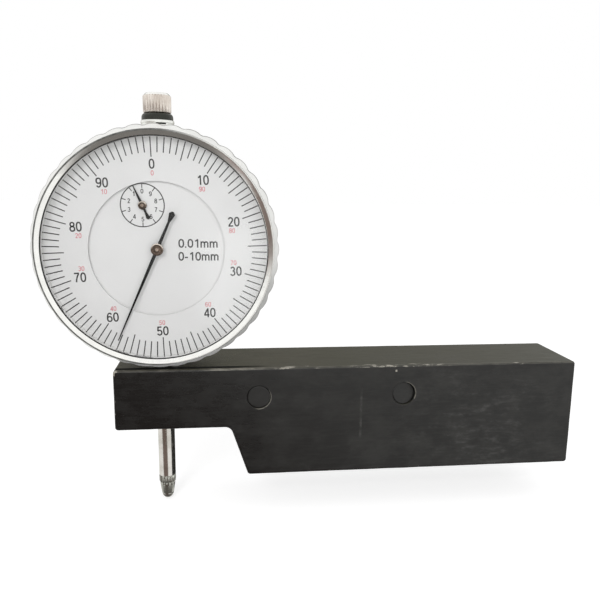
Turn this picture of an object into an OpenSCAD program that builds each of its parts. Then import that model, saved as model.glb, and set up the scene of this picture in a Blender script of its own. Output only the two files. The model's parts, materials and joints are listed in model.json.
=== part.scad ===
// Liner height gauge: a dial indicator clamped upright in a stepped steel block.
// The base face lies on z = 0 with its centre at the origin, and the dial faces -Y.

/* [Block] */
// Overall length of the block
block_len = 120; // [114:1:140]
// Depth of the block from front to back
block_depth = 20; // [18:0.5:26]
// Height of the block over its base
block_h = 28.5; // [26:0.5:36]
// Height of the arm's underside over the base
arm_clear = 13; // [8:0.5:15]
// Length of the base face
base_len = 87; // [76:1:92]
// Run of the slanted step from the base to the arm
step_run = 4.4; // [2:0.2:6]
// Radius of the block's outer corners
corner_r = 0.8; // [0.4:0.1:1.5]
// Radius of the fillet under the arm
fillet_r = 2; // [0.5:0.1:3]
// Distance of the stem's axis from the arm's end
stem_inset = 11.5; // [8:0.5:14]
// Diameter of the two plugs in the front face
plug_d = 6; // [4:0.5:8]
// Length of the plugs
plug_len = 7; // [4:0.5:9]
// Depth of the plugs' faces below the front face
plug_recess = 0.15; // [0.05:0.05:0.5]
// Distance of the first plug from the arm's end
plug_start = 35.8; // [32:0.2:45]
// Distance between the two plugs
plug_pitch = 37.7; // [20:0.1:60]
// Distance of the plugs below the top face
plug_drop = 7.7; // [6:0.1:12]

/* [Stem and clamp] */
// Diameter of the stem
stem_d = 8; // [7.5:0.1:8.4]
// Height of the stem's lower end above the arm's underside
stem_recess = 0.6; // [0.2:0.1:2]
// Outside diameter of the guide bushes in the stem
bush_d = 6; // [5:0.1:6.6]
// Length of the guide bushes
bush_len = 7; // [4:0.5:9]
// Diameter of the clamp screw
clamp_d = 5; // [4:0.5:6]
// Width across the flats of the clamp screw's socket
clamp_key = 2.5; // [1.5:0.5:3]
// Depth of the clamp screw's socket
clamp_socket = 2.5; // [1:0.25:3]
// Thickness of the soft pad between the screw and the stem
pad_t = 1.2; // [0.6:0.1:2]

/* [Plunger] */
// Diameter of the plunger
plunger_d = 4.4; // [4.2:0.05:4.5]
// Full travel of the plunger, overtravel included
travel = 10.8; // [10:0.1:12]
// Distance of the ball's end below the base at rest
tip_drop = 10.4; // [8:0.1:12]
// Diameter of the contact ball
ball_d = 3.1; // [2:0.1:3.4]
// Length of the contact point from its shoulder to the ball's end
point_len = 7; // [5:0.1:8]
// Length of the contact point's grip band
grip_len = 2.1; // [1:0.1:2.5]
// Diameter of the threaded shanks in the plunger and the cap
shank_d = 2.5; // [1.8:0.1:2.8]
// Length of those shanks
shank_len = 3; // [2:0.1:3.6]
// Diameter of the lifting cap over its ridges
cap_d = 6.8; // [6:0.1:8]
// Height of the lifting cap
cap_h = 4.7; // [4.2:0.1:7]
// Number of ridges round the lifting cap
cap_ridges = 28; // [20:1:36]
// Depth of the ridges
ridge_depth = 0.25; // [0.1:0.05:0.4]
// Chamfer round the cap's top
cap_chamfer = 0.5; // [0.2:0.1:1]
// Diameter of the cushion ring under the cap
cushion_d = 7.6; // [6.8:0.1:8.2]
// Height of the cushion ring
cushion_h = 1.6; // [1:0.1:2.5]
// Diameter of the collar on top of the case
collar_d = 8.2; // [7.8:0.1:8.3]
// Height of the collar over the case
collar_rise = 3.1; // [1.5:0.1:4]

/* [Bezel and dial] */
// Height of the bezel's scallops over the case
scallop_rise = 1.8; // [1.6:0.1:3]
// Gap between the bezel and the block's top
bezel_gap = 0.25; // [0.2:0.05:4]
// Number of scallops
scallop_count = 40; // [30:1:44]
// Depth of the scallops
scallop_depth = 0.45; // [0.3:0.05:0.6]
// Radius of each scallop's round
scallop_r = 4; // [3.4:0.1:4.6]
// Step from the case down to the bezel's bore
bore_step = 0.3; // [0.1:0.05:0.5]
// Width of the bezel's lip over the crystal
lip_w = 0.8; // [0.5:0.1:1.1]
// Wall of the front ring outside the bore
ring_wall = 0.65; // [0.4:0.05:1]
// Height of the front ring over the bezel's shoulder
ring_h = 0.9; // [0.6:0.1:1.4]
// Length of the bezel's slanted shoulder behind the front ring
slant_len = 2.4; // [1.2:0.1:3.2]
// Rise of the front ring's inward slope
ring_slope = 0.55; // [0.2:0.05:0.8]
// Thickness of the lip at the window
lip_t = 0.25; // [0.15:0.05:0.5]
// Thickness of the crystal
crystal_t = 1; // [0.8:0.1:1.4]
// Room for the hands between the dial ring and the crystal
hand_room = 1.4; // [1.3:0.1:2.5]
// Distance of the dial ring's face in front of the plunger's axis
dial_face = 8.6; // [8.3:0.1:11]
// Thickness of the dial ring and of the dial disc
dial_t = 0.5; // [0.3:0.05:0.6]
// Width of the dial ring inside the window
scale_w = 10.35; // [9.5:0.05:10.6]
// Lap of the dial disc behind the dial ring
disc_lap = 1.35; // [1.05:0.05:2]
// Drop from the dial ring's face to the dial disc's face
disc_drop = 0.7; // [0.65:0.05:1.2]
// Distance of the bezel's rear edge in front of the plunger's axis
skirt_back = 4.5; // [4.4:0.1:5]

/* [Hands] */
// Gap between the long hand's point and the window's edge
hand_gap = 2.2; // [1:0.1:6.5]
// Length of the long hand's tail
hand_tail = 9.8; // [6:0.1:12]
// Width of the long hand at its hub
hand_w = 0.85; // [0.6:0.05:1.2]
// Width of the spade on the tail
spade_w = 1.5; // [1.2:0.1:2.2]
// Direction of the long hand, clockwise from the top
hand_turn = 204; // [0:1:359]
// Gap between the small hand's point and the dial ring
small_gap = 0.2; // [0.15:0.05:1.7]
// Length of the small hand's tail as a share of the hand's length
small_tail_share = 0.71; // [0.4:0.01:0.8]
// Width of the small hand at its hub
small_w = 0.7; // [0.4:0.05:0.8]
// Width of the spade on the small hand's tail
small_spade = 0.95; // [0.8:0.05:1.2]
// Direction of the small hand, clockwise from the top
small_turn = 336; // [0:1:359]
// Radius of the long hand's hub
hub_r = 1.5; // [1.2:0.1:2]
// Radius of the small hand's hub
small_hub_r = 1; // [0.8:0.1:1.4]
// Thickness of the hands
hand_t = 0.15; // [0.1:0.05:0.2]

/* [Case] */
// Outside radius of the case behind the bezel
case_r = 27.6; // [26.6:0.1:30]
// Wall of the case
case_wall = 2.6; // [2.2:0.1:2.8]
// Distance of the case's rear rim behind the plunger's axis
case_back = 9; // [8.5:0.1:12]
// Distance of the inner web's front behind the plunger's axis
web_front = 5; // [4.8:0.1:6]
// Thickness of the inner web
web_t = 1.2; // [0.8:0.1:1.6]
// Rise of the stem and collar bosses inside the case
boss_rise = 1.5; // [0.8:0.1:2]
// Wall of the bosses round the stem and the collar
boss_wall = 1.5; // [1:0.1:2]
// Thickness of the back cover
cover_t = 1.2; // [0.8:0.1:2]
// Distance of the cover screws from the case's inner wall
cover_screw_inset = 3; // [2.6:0.1:4.5]
// Diameter of the wire that holds the bezel
wire_w = 0.6; // [0.4:0.05:0.8]

/* [Movement] */
// Pitch of the rack on the plunger
rack_pitch = 0.625; // [0.6:0.005:0.63]
// Distance of the rack's pitch line from the plunger's axis
rack_line = 1.65; // [1.55:0.01:1.7]
// Teeth of the pinion on the counter arbor
counter_teeth = 16; // [14:1:18]
// Teeth of the counter wheel and of the take-up wheel
wheel_teeth = 100; // [96:1:102]
// Teeth of the centre pinion
centre_teeth = 10; // [9:1:12]
// Angle between the counter wheel and the take-up wheel
takeup_angle = 160; // [150:1:170]
// Thickness of the two wheels
wheel_t = 0.6; // [0.4:0.05:0.8]
// Thickness of the front plate and of the centre bridge
plate_t = 0.8; // [0.6:0.05:0.9]
// Gap between the front plate and the case's inner wall
plate_gap = 0.4; // [0.3:0.1:0.7]
// Distance of the pillars from the front plate's edge
pillar_inset = 2.2; // [1.8:0.1:2.4]
// Radius of the pillars
pillar_r = 1.6; // [1.2:0.1:1.7]
// Distance of the bridge posts from the dial's centre
post_place = 6.8; // [6.6:0.1:8]
// Height of the guide arm below the dial's centre at rest
guide_drop = 9; // [8:0.1:10]
// Height of the guide arm
guide_h = 3; // [2:0.1:4]
// Diameter of the guide pin
guide_pin_d = 1.6; // [1.2:0.1:2]
// Width of the guide rail
rail_w = 6; // [5:0.1:7]
// Thickness of the guide rail
rail_t = 1.6; // [1.2:0.1:1.8]
// Distance of the return spring from the plunger's axis
spring_x = 6; // [5.4:0.1:7]
// Gap between the spring's post and the case's inner wall
post_gap = 0.96; // [0.4:0.02:1.6]
// Turns of the return spring
spring_turns = 12; // [8:1:13]
// Mean radius of the return spring
spring_r = 1.2; // [0.8:0.1:1.6]
// Diameter of the return spring's wire
spring_wire = 0.3; // [0.2:0.02:0.4]
// Turns of the hairspring
hair_turns = 5; // [3:1:6]
// Outer radius of the hairspring
hair_r = 5.2; // [4.6:0.1:6]
// Thickness of the hairspring's ribbon
hair_t = 0.12; // [0.08:0.01:0.15]

/* [Clearances] */
// Radial clearance of the stem, plugs and other fixed fits
fit_clear = 0.02; // [0.01:0.01:0.05]
// Radial clearance of the plunger and of the pivots
run_clear = 0.04; // [0.02:0.01:0.08]
// Radial clearance of the bezel on the case
bezel_clear = 0.08; // [0.05:0.01:0.1]
// Gap between parts that pass each other
pass_gap = 0.3; // [0.2:0.05:0.4]
// Gap between the cap and the cushion ring at rest
rest_gap = 0.05; // [0.02:0.01:0.1]

/* [Hidden] */
$fn = 96;
// Overshoot of every cut
cut = 0.1;

// Block
arm_end = base_len / 2 - block_len;
stem_x = arm_end + stem_inset;
step_top = -base_len / 2 - step_run;
clamp_z = (arm_clear + block_h) / 2;
clamp_sink = 0.5;
plug_z = block_h - plug_drop;
plug_back = plug_recess + plug_len - block_depth / 2;

// Radii
stem_r = stem_d / 2;
bush_r = bush_d / 2;
plunger_r = plunger_d / 2;
shank_r = shank_d / 2;
ball_r = ball_d / 2;
clamp_r = clamp_d / 2;
pad_r = clamp_r - fit_clear;
pin_r = guide_pin_d / 2;
collar_r = collar_d / 2;

// Radii of the case, the bezel and the dial
case_in = case_r - case_wall;
bezel_r = case_r + scallop_rise;
bezel_bore = case_r - bore_step;
window_r = bezel_bore - lip_w;
ring_r = bezel_bore + ring_wall;
dial_opening = window_r - scale_w;
disc_r = dial_opening + disc_lap;
hand_len = window_r - hand_gap;
plate_r = case_in - plate_gap;
pillar_place = plate_r - pillar_inset;
cover_screw_place = case_in - cover_screw_inset;

// Heights
dial_z = block_h + bezel_gap + bezel_r;
stem_low = arm_clear + stem_recess;
stem_high = dial_z - case_in + boss_rise;
spot_face = 0.5;
collar_seat = dial_z + case_r - spot_face;
collar_top = dial_z + case_r + collar_rise;
collar_low = dial_z + case_in - boss_rise;
cap_low = collar_top + cushion_h + rest_gap;
point_shoulder = point_len - tip_drop;
ridge_root = 0.35;
ridge_top = 0.15;
boss_r = stem_r + boss_wall;

// Distances in front of the plunger's axis, from the crystal to the guide rail
crystal_back = dial_face + hand_room;
crystal_front = crystal_back + crystal_t;
ring_top = crystal_front + lip_t + ring_slope;
bezel_shoulder = ring_top - ring_h;
slant_back = bezel_shoulder - slant_len;
dial_back = dial_face - dial_t;
retain_t = 0.5;
retain_back = dial_back - retain_t;
neck_front = retain_back - pass_gap;
case_shoulder = skirt_back - pass_gap;
wire_mid = (skirt_back + neck_front) / 2;
disc_face = dial_face - disc_drop;
disc_back = disc_face - dial_t;
disc_feet = 0.5;
plate_front = disc_back - disc_feet;
plate_back = plate_front - plate_t;
wheel_gap = 0.6;
wheel_front = plate_back - wheel_gap;
wheel_back = wheel_front - wheel_t;
bridge_front = wheel_back - wheel_gap;
bridge_back = bridge_front - plate_t;
web_back = web_front + web_t;
hand_lift = 0.45;
hand_back = dial_face + hand_lift;
hand_front = hand_back + hand_t;
hub_h = 0.4;
small_back = disc_face + pass_gap;
small_front = small_back + hand_t;
small_hub_h = 0.25;

// Bezel
neck_r = bezel_bore - bezel_clear;
valley_r = bezel_r - scallop_depth;
spacer_w = 1;
rim_w = 0.25;
rim_in = ring_r - rim_w;
rim_over = rim_in + (rim_in - window_r) * cut / ring_slope;
wire_bite = 0.8;
wire_stand = 0.4;
wire_side = 0.1;
wire_span = 346;
wire_in = neck_r - wire_bite;
wire_out = bezel_bore + wire_stand;
cover_step = 0.4;
cover_r = case_r - cover_step;
seated_r = bezel_bore - fit_clear;

// Teeth
tooth_module = rack_pitch / PI;
tooth_root = 0.24;
tooth_pitch = 0.2;
tooth_tip = 0.08;
addendum = 0.8 * tooth_module;
dedendum = 1.15 * tooth_module;
counter_r = tooth_module * counter_teeth / 2;
train = tooth_module * (wheel_teeth + centre_teeth) / 2;
counter_x = -rack_line - counter_r;
counter_y = sqrt(train * train - counter_x * counter_x);
counter_dir = atan2(counter_y, counter_x);
small_len = dial_opening - train - small_gap;
small_tail = small_len * small_tail_share;
takeup_dir = counter_dir - takeup_angle;
takeup_x = train * cos(takeup_dir);
takeup_y = train * sin(takeup_dir);
wheel_step = 360 / wheel_teeth;
centre_step = 360 / centre_teeth;
centre_phase = counter_dir + centre_step / 2;
takeup_lead = (centre_phase - takeup_dir + 360) % centre_step;
takeup_phase = takeup_dir + 180 - takeup_lead * centre_teeth / wheel_teeth + wheel_step / 2;
counter_pinion_w = 2;
rack_spare = 4;
rack_below = ceil(travel / rack_pitch) + rack_spare;

// Movement
pivot_r = 0.4;
arbor_r = 0.7;
seat_r = 1;
tenon_r = 0.6;
bar_w = 2.6;
bridge_dir = (counter_dir + takeup_dir + 180) / 2 - 90;
post_r = 1;
pillar_dirs = [30, 150, 235];
cover_dirs = [45, 135, 225, 315];
cover_slots = [20, 75, 140, 35];
screw_r = 0.9;
screw_head_r = 1.5;
screw_head_h = 0.7;
screw_grip = 2;
slot_w = 0.45;
slot_depth = 0.35;
cover_head = -case_back - cover_t - screw_head_h;
pivot_boss_r = 1.5;
pivot_boss_len = 2.4;
foot_x = 9;
foot_r = 0.6;
guide_y = -guide_drop;
collar_wall = 0.8;
slot_spare = 1;
rail_end = 3.2;
rail_low = guide_y - slot_spare - pin_r - rail_end;
rail_high = guide_y + travel + slot_spare + pin_r + rail_end;
rail_front = rail_t - web_front;
blind_gap = 0.4;
pin_back = blind_gap - web_front;
arm_t = 2;
arm_low = dial_z + guide_y - guide_h / 2;
post_w = 2;
post_reach = case_in - post_gap;
post_side = spring_x + post_w / 2;
spring_low = dial_z - sqrt(post_reach * post_reach - post_side * post_side) + post_w;
spring_len = arm_low - spring_low;
stud_w = 1;
hair_h = 0.3;
collet_gap = 0.15;
collet_r = 1.3;
hair_in = collet_r + pass_gap;
hair_mid = (wheel_front + plate_back) / 2;
wheel_holes = 5;
wheel_hole_r = 2.3;
wheel_hole_place = 5.6;

// Places the children in the dial's frame: x right, y up, z towards the viewer
module at_dial(x = 0, y = 0)
    translate([stem_x + x, 0, dial_z + y]) rotate([90, 0, 0]) children();

module at_stem()
    translate([stem_x, 0, 0]) children();

module disc(r, from, to)
    translate([0, 0, from]) cylinder(r = r, h = to - from);

module tube(r_out, r_in, from, to)
    difference() {
        disc(r_out, from, to);
        disc(r_in, from - cut, to + cut);
    }

// A slot across a screw head, from its floor to its mouth
module screw_slot(from, to)
    translate([-screw_head_r - cut, -slot_w / 2, from])
        cube([2 * (screw_head_r + cut), slot_w, to - from]);

// A round bar along Y
module cross_bar(r, from, to)
    translate([0, from, 0]) rotate([-90, 0, 0]) cylinder(r = r, h = to - from);

function unit(v) = v / norm(v);

// Points of the arc that rounds corner b between its neighbours a and c
function round_corner(a, b, c, r, steps = 6) =
    let (
        u = unit(a - b),
        w = unit(c - b),
        half = acos(u * w) / 2,
        middle = b + unit(u + w) * r / sin(half),
        first = b + u * r / tan(half) - middle,
        last = b + w * r / tan(half) - middle,
        start = atan2(first.y, first.x),
        sweep = (atan2(last.y, last.x) - start + 540) % 360 - 180
    )
    [for (i = [0:steps]) middle + r * [cos(start + sweep * i / steps), sin(start + sweep * i / steps)]];

function rounded(corners, radii) =
    let (n = len(corners))
    [for (i = [0:n - 1])
        let (before = corners[(i + n - 1) % n], after = corners[(i + 1) % n])
        each round_corner(before, corners[i], after, radii[i])];

// Outline of a toothed wheel with one tooth at the angle phase
function tooth_ring(teeth, phase) =
    let (r = tooth_module * teeth / 2, step = 360 / teeth)
    [for (i = [0:teeth - 1], p = [
        [-tooth_root, r - dedendum], [-tooth_pitch, r], [-tooth_tip, r + addendum],
        [tooth_tip, r + addendum], [tooth_pitch, r], [tooth_root, r - dedendum]
    ]) let (a = phase + (i + p[0]) * step) p[1] * [cos(a), sin(a)]];

module toothed(teeth, phase, from, to)
    translate([0, 0, from]) linear_extrude(to - from) polygon(tooth_ring(teeth, phase));

// Outline of a tube's ring at a point of its path
function ring_at(centre, along, outward, r, sides) =
    let (
        n = unit(outward - along * (outward * along)),
        b = cross(along, n)
    )
    [for (k = [0:sides - 1]) centre + r * (n * cos(360 * k / sides) + b * sin(360 * k / sides))];

module gauge_block() {
    corners = [
        [base_len / 2, 0], [base_len / 2, block_h], [arm_end, block_h],
        [arm_end, arm_clear], [step_top, arm_clear], [-base_len / 2, 0]
    ];
    radii = [corner_r, corner_r, corner_r, corner_r, fillet_r, corner_r];
    color("#2b2a28")
    difference() {
        translate([0, block_depth / 2, 0]) rotate([90, 0, 0]) linear_extrude(block_depth)
            polygon(rounded(corners, radii));
        at_stem() disc(stem_r + fit_clear, arm_clear - cut, block_h + cut);
        translate([stem_x, 0, clamp_z]) cross_bar(clamp_r, 0, block_depth / 2 + cut);
        for (i = [0, 1]) translate([arm_end + plug_start + i * plug_pitch, 0, plug_z])
            cross_bar(plug_d / 2 + fit_clear, -block_depth / 2 - cut, plug_back);
    }
}

module face_plug(i)
    color("#33312f")
    translate([arm_end + plug_start + (i - 1) * plug_pitch, 0, plug_z])
        cross_bar(plug_d / 2, plug_back - plug_len, plug_back);

module clamp_screw() {
    back = block_depth / 2 - clamp_sink;
    color("#262626")
    translate([stem_x, 0, clamp_z]) difference() {
        cross_bar(pad_r, stem_r + pad_t, back);
        translate([0, back - clamp_socket, 0]) rotate([-90, 0, 0])
            cylinder(d = clamp_key / cos(30), h = clamp_socket + cut, $fn = 6);
    }
}

module clamp_pad()
    color("#b08d4a")
    difference() {
        translate([stem_x, 0, clamp_z])
            cross_bar(pad_r, sqrt(stem_r * stem_r - pad_r * pad_r), stem_r + pad_t);
        at_stem() disc(stem_r + fit_clear, arm_clear, block_h);
    }

module indicator_case()
    color("#9a9a98")
    difference() {
        union() {
            at_dial() tube(case_r, case_in, -case_back, case_shoulder);
            at_dial() tube(neck_r, case_in, -case_back, neck_front);
            at_dial() disc(case_in + cut, -web_back, -web_front);
            at_dial() for (a = cover_dirs) rotate(a) translate([cover_screw_place, 0, 0])
                disc(screw_r + boss_wall, -case_back, -web_front - cut);
            at_dial(counter_x, counter_y) disc(pivot_boss_r, -web_front - cut, pivot_boss_len - web_front);
            at_stem() disc(boss_r, dial_z - case_in - cut, stem_high);
            at_stem() disc(boss_r, collar_low, dial_z + case_in + cut);
        }
        at_stem() disc(stem_r + fit_clear, dial_z - case_r - cut, stem_high + cut);
        at_stem() disc(bush_r + fit_clear, collar_low - cut, dial_z + case_r + cut);
        at_stem() disc(collar_r + fit_clear, collar_seat, collar_top);
        at_dial() difference() {
            disc(neck_r + cut, wire_mid - wire_w / 2 - wire_side, wire_mid + wire_w / 2 + wire_side);
            disc(wire_in - wire_side, wire_mid - wire_w, wire_mid + wire_w);
        }
        at_dial() for (a = pillar_dirs) rotate(a) translate([pillar_place, 0, 0])
            disc(seat_r + fit_clear, -web_back - cut, cut - web_front);
        at_dial() for (a = cover_dirs) rotate(a) translate([cover_screw_place, 0, 0])
            disc(screw_r + fit_clear, -case_back - cut, cover_t - web_front - screw_grip);
        at_dial(counter_x, counter_y) disc(pivot_r + run_clear, -web_back - cut, pivot_boss_len);
        for (y = [rail_low + rail_end / 2, rail_high - rail_end / 2])
            at_dial(0, y) disc(screw_r + fit_clear, -web_back - cut, cut - web_front);
        at_dial(spring_x, spring_low - dial_z - post_w / 2)
            disc(tenon_r + fit_clear, -web_back - cut, cut - web_front);
    }

module stem()
    color("#c9c8c4")
    at_stem() difference() {
        disc(stem_r, stem_low, stem_high);
        disc(plunger_r + pass_gap, stem_low - cut, stem_high + cut);
        disc(bush_r + fit_clear, stem_low - cut, stem_low + bush_len);
        disc(bush_r + fit_clear, stem_high - bush_len, stem_high + cut);
    }

module stem_bush(low)
    color("#b08d57")
    at_stem() tube(bush_r, plunger_r + run_clear, low, low + bush_len);

module top_bush()
    color("#d8d8d4")
    at_stem() difference() {
        union() {
            disc(bush_r, collar_low, collar_seat + cut);
            disc(collar_r, collar_seat, collar_top);
        }
        disc(plunger_r + run_clear, collar_low - cut, collar_top + cut);
    }

module cushion_ring()
    color("#1d1f1c")
    at_stem() tube(cushion_d / 2, plunger_r + pass_gap, collar_top, collar_top + cushion_h);

module back_cover()
    color("#a5a5a2")
    at_dial() difference() {
        disc(cover_r, -case_back - cover_t, -case_back);
        for (a = cover_dirs) rotate(a) translate([cover_screw_place, 0, 0])
            disc(screw_r + fit_clear, -case_back - cover_t - cut, cut - case_back);
    }

module cover_screw(i)
    color("#c4c4c0")
    at_dial() rotate(cover_dirs[i - 1]) translate([cover_screw_place, 0, 0]) difference() {
        union() {
            disc(screw_r, -case_back - cover_t - cut, screw_grip - case_back);
            disc(screw_head_r, -case_back - cover_t - screw_head_h, -case_back - cover_t);
        }
        rotate(cover_slots[i - 1])
            screw_slot(cover_head - cut, cover_head + slot_depth);
    }

module bezel_wire()
    color("#8d8d8d")
    at_dial() rotate(90 + (360 - wire_span) / 2) rotate_extrude(angle = wire_span)
        translate([wire_in, wire_mid - wire_w / 2]) square([wire_out - wire_side * 2 - wire_in, wire_w]);

module front_plate()
    color("#c2a45f")
    at_dial() difference() {
        disc(plate_r, plate_back, plate_front);
        disc(arbor_r + run_clear, plate_back - cut, plate_front + cut);
        translate([counter_x, counter_y, 0]) disc(arbor_r + run_clear, plate_back - cut, plate_front + cut);
        translate([takeup_x, takeup_y, 0]) disc(pivot_r + run_clear, plate_back - cut, plate_front + cut);
        for (a = pillar_dirs) rotate(a) translate([pillar_place, 0, 0])
            disc(screw_r + fit_clear, plate_back - cut, plate_front + cut);
        for (a = [0, 180]) rotate(bridge_dir + a) translate([post_place, 0, 0])
            disc(tenon_r + fit_clear, plate_back - cut, plate_front + cut);
        for (x = [-foot_x, foot_x]) translate([x, 0, 0])
            disc(foot_r + fit_clear, plate_back - cut, plate_front + cut);
    }

module plate_pillar(i)
    color("#c9ad68")
    at_dial() rotate(pillar_dirs[i - 1]) translate([pillar_place, 0, 0]) difference() {
        union() {
            disc(pillar_r, -web_front, plate_back);
            disc(seat_r, -web_back, cut - web_front);
        }
        disc(screw_r + fit_clear, plate_back - screw_grip, plate_back + cut);
    }

module plate_screw(i)
    color("#c4c4c0")
    at_dial() rotate(pillar_dirs[i - 1]) translate([pillar_place, 0, 0]) difference() {
        union() {
            disc(screw_r, plate_back - screw_grip, plate_front + cut);
            disc(screw_head_r, plate_front, plate_front + screw_head_h);
        }
        screw_slot(plate_front + screw_head_h - slot_depth, plate_front + screw_head_h + cut);
    }

module centre_bridge()
    color("#c2a45f")
    at_dial() difference() {
        union() {
            rotate(bridge_dir) translate([-post_place, -bar_w / 2, bridge_back])
                cube([2 * post_place, bar_w, plate_t]);
            for (a = [0, 180]) rotate(bridge_dir + a) translate([post_place, 0, 0])
                disc(bar_w / 2, bridge_back, bridge_front);
            rotate(takeup_dir) translate([0, -bar_w / 2, bridge_back]) cube([train, bar_w, plate_t]);
            translate([takeup_x, takeup_y, 0]) disc(bar_w / 2, bridge_back, bridge_front);
        }
        disc(pivot_r + run_clear, bridge_back - cut, bridge_front + cut);
        translate([takeup_x, takeup_y, 0]) disc(pivot_r + run_clear, bridge_back - cut, bridge_front + cut);
        for (a = [0, 180]) rotate(bridge_dir + a) translate([post_place, 0, 0])
            disc(tenon_r + fit_clear, bridge_back - cut, bridge_front + cut);
    }

module bridge_post(i)
    color("#c9ad68")
    at_dial() rotate(bridge_dir + 180 * (i - 1)) translate([post_place, 0, 0]) {
        disc(post_r, bridge_front, plate_back);
        disc(tenon_r, bridge_back, plate_front);
    }

module guide_rail()
    color("#b9b9b4")
    at_dial() difference() {
        translate([-rail_w / 2, rail_low, -web_front]) cube([rail_w, rail_high - rail_low, rail_t]);
        translate([-pin_r - run_clear, guide_y - slot_spare, -web_front - cut])
            cube([2 * (pin_r + run_clear), travel + 2 * slot_spare, rail_t + 2 * cut]);
        for (y = [guide_y - slot_spare, guide_y + travel + slot_spare]) translate([0, y, 0])
            disc(pin_r + run_clear, -web_front - cut, rail_front + cut);
        for (y = [rail_low + rail_end / 2, rail_high - rail_end / 2]) translate([0, y, 0])
            disc(screw_r + fit_clear, -web_front - cut, rail_front + cut);
    }

module guide_screw(i)
    color("#c4c4c0")
    at_dial(0, i == 1 ? rail_low + rail_end / 2 : rail_high - rail_end / 2) difference() {
        union() {
            disc(screw_r, -web_back, rail_front + cut);
            disc(screw_head_r, rail_front, rail_front + screw_head_h);
        }
        screw_slot(rail_front + screw_head_h - slot_depth, rail_front + screw_head_h + cut);
    }

module spring_post()
    color("#c9ad68")
    at_dial(spring_x, spring_low - dial_z - post_w / 2) {
        translate([-post_w / 2, -post_w / 2, -web_front]) cube([post_w, post_w, web_front + post_w / 2]);
        disc(tenon_r, -web_back, cut - web_front);
    }

// Tension spring: each end leaves the axis, winds out to the full radius and comes back
spring_rings = 8;
spring_sides = 6;
spring_steps = spring_turns * spring_rings;
spring_lead = spring_wire;
function spring_swell(t) = min(1, spring_turns * min(t, 1 - t));
function spring_point(i) =
    let (t = i / spring_steps, a = 360 * spring_turns * t)
    [spring_r * spring_swell(t) * cos(a), spring_r * spring_swell(t) * sin(a),
     spring_lead + (spring_len - 2 * spring_lead) * t];
spring_path = [for (i = [0:spring_steps]) spring_point(i)];
spring_gap = min([for (i = [0:spring_steps - spring_rings / 2], j = [i + spring_rings / 2:spring_steps])
    norm(spring_path[i] - spring_path[j])]) - spring_wire;
echo(spring_gap = spring_gap);

module return_spring() {
    middle = [for (i = [0:spring_steps])
        let (
            before = spring_path[max(i - 1, 0)],
            after = spring_path[min(i + 1, spring_steps)],
            along = i == 0 || i == spring_steps ? [0, 0, 1] : unit(after - before),
            a = 360 * i / spring_rings
        )
        ring_at(spring_path[i], along, [cos(a), sin(a), 0], spring_wire / 2, spring_sides)];
    low = ring_at([0, 0, 0], [0, 0, 1], [1, 0, 0], spring_wire / 2, spring_sides);
    high = ring_at([0, 0, spring_len], [0, 0, 1], [1, 0, 0], spring_wire / 2, spring_sides);
    rings = concat([low], middle, [high]);
    last = len(rings) - 1;
    side = [for (i = [0:last - 1], k = [0:spring_sides - 1])
        let (a = i * spring_sides, b = a + spring_sides, m = (k + 1) % spring_sides)
        each [[a + k, b + k, b + m], [a + k, b + m, a + m]]];
    ends = [for (k = [1:spring_sides - 2])
        each [[0, k, k + 1], [last * spring_sides, last * spring_sides + k + 1, last * spring_sides + k]]];
    color("#8e8e90")
    translate([stem_x + spring_x, 0, spring_low])
        polyhedron([for (r = rings) each r], concat(side, ends));
}

// Flat spiral from the collet out to the stud
hair_steps = 24;
function hair_point(a, shift) =
    let (r = hair_in + (hair_r - hair_in) * a / (360 * hair_turns) + shift)
    r * [cos(a), sin(a)];
hair_gap = (hair_r - hair_in) / hair_turns - hair_t;
echo(hair_gap = hair_gap);

module hairspring() {
    angles = [for (i = [0:hair_turns * hair_steps]) 360 * i / hair_steps];
    outer = [for (a = angles) hair_point(a, hair_t / 2)];
    inner = [for (i = [len(angles) - 1:-1:0]) hair_point(angles[i], -hair_t / 2)];
    color("#55607a")
    at_dial(takeup_x, takeup_y) translate([0, 0, hair_mid - hair_h / 2])
        linear_extrude(hair_h) polygon(concat(outer, inner));
}

module hairspring_stud()
    color("#c9ad68")
    at_dial(takeup_x + hair_r + hair_t / 2, takeup_y)
        translate([0, -stud_w / 2, hair_mid - hair_h / 2])
            cube([stud_w, stud_w, plate_back - hair_mid + hair_h / 2]);

module dial_disc()
    color("#e4e4e1")
    at_dial() difference() {
        union() {
            disc(disc_r, disc_back, disc_face);
            for (x = [-foot_x, foot_x]) translate([x, 0, 0]) disc(foot_r, plate_back, disc_back + cut);
            for (x = [-foot_x, foot_x]) translate([x, 0, 0]) disc(seat_r, plate_front, disc_back + cut);
        }
        disc(arbor_r + pass_gap, disc_back - cut, disc_face + cut);
        translate([counter_x, counter_y, 0]) disc(arbor_r + pass_gap, disc_back - cut, disc_face + cut);
    }

// Comb of rack gaps, cut from the plunger's side towards the counter arbor
module rack_comb() {
    profile = [for (i = [-rack_below:rack_spare], p = [
        [-tooth_root, dedendum], [-tooth_pitch, 0], [-tooth_tip, -addendum],
        [tooth_tip, -addendum], [tooth_pitch, 0], [tooth_root, dedendum]
    ]) [p[1] - rack_line, (i + p[0] + 0.5) * rack_pitch]];
    outside = -plunger_r - cut;
    low = profile[0].y;
    high = profile[len(profile) - 1].y;
    translate([0, plunger_r + cut, dial_z + counter_y]) rotate([90, 0, 0])
        linear_extrude(2 * (plunger_r + cut)) polygon(concat(profile, [[outside, high], [outside, low]]));
}

module spindle()
    color("#cfcdc9")
    at_stem() difference() {
        union() {
            disc(plunger_r, point_shoulder, cap_low);
            disc(shank_r, cap_low - cut, cap_low + shank_len);
        }
        disc(shank_r + fit_clear, point_shoulder - cut, point_shoulder + shank_len + fit_clear);
        rack_comb();
    }

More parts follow.
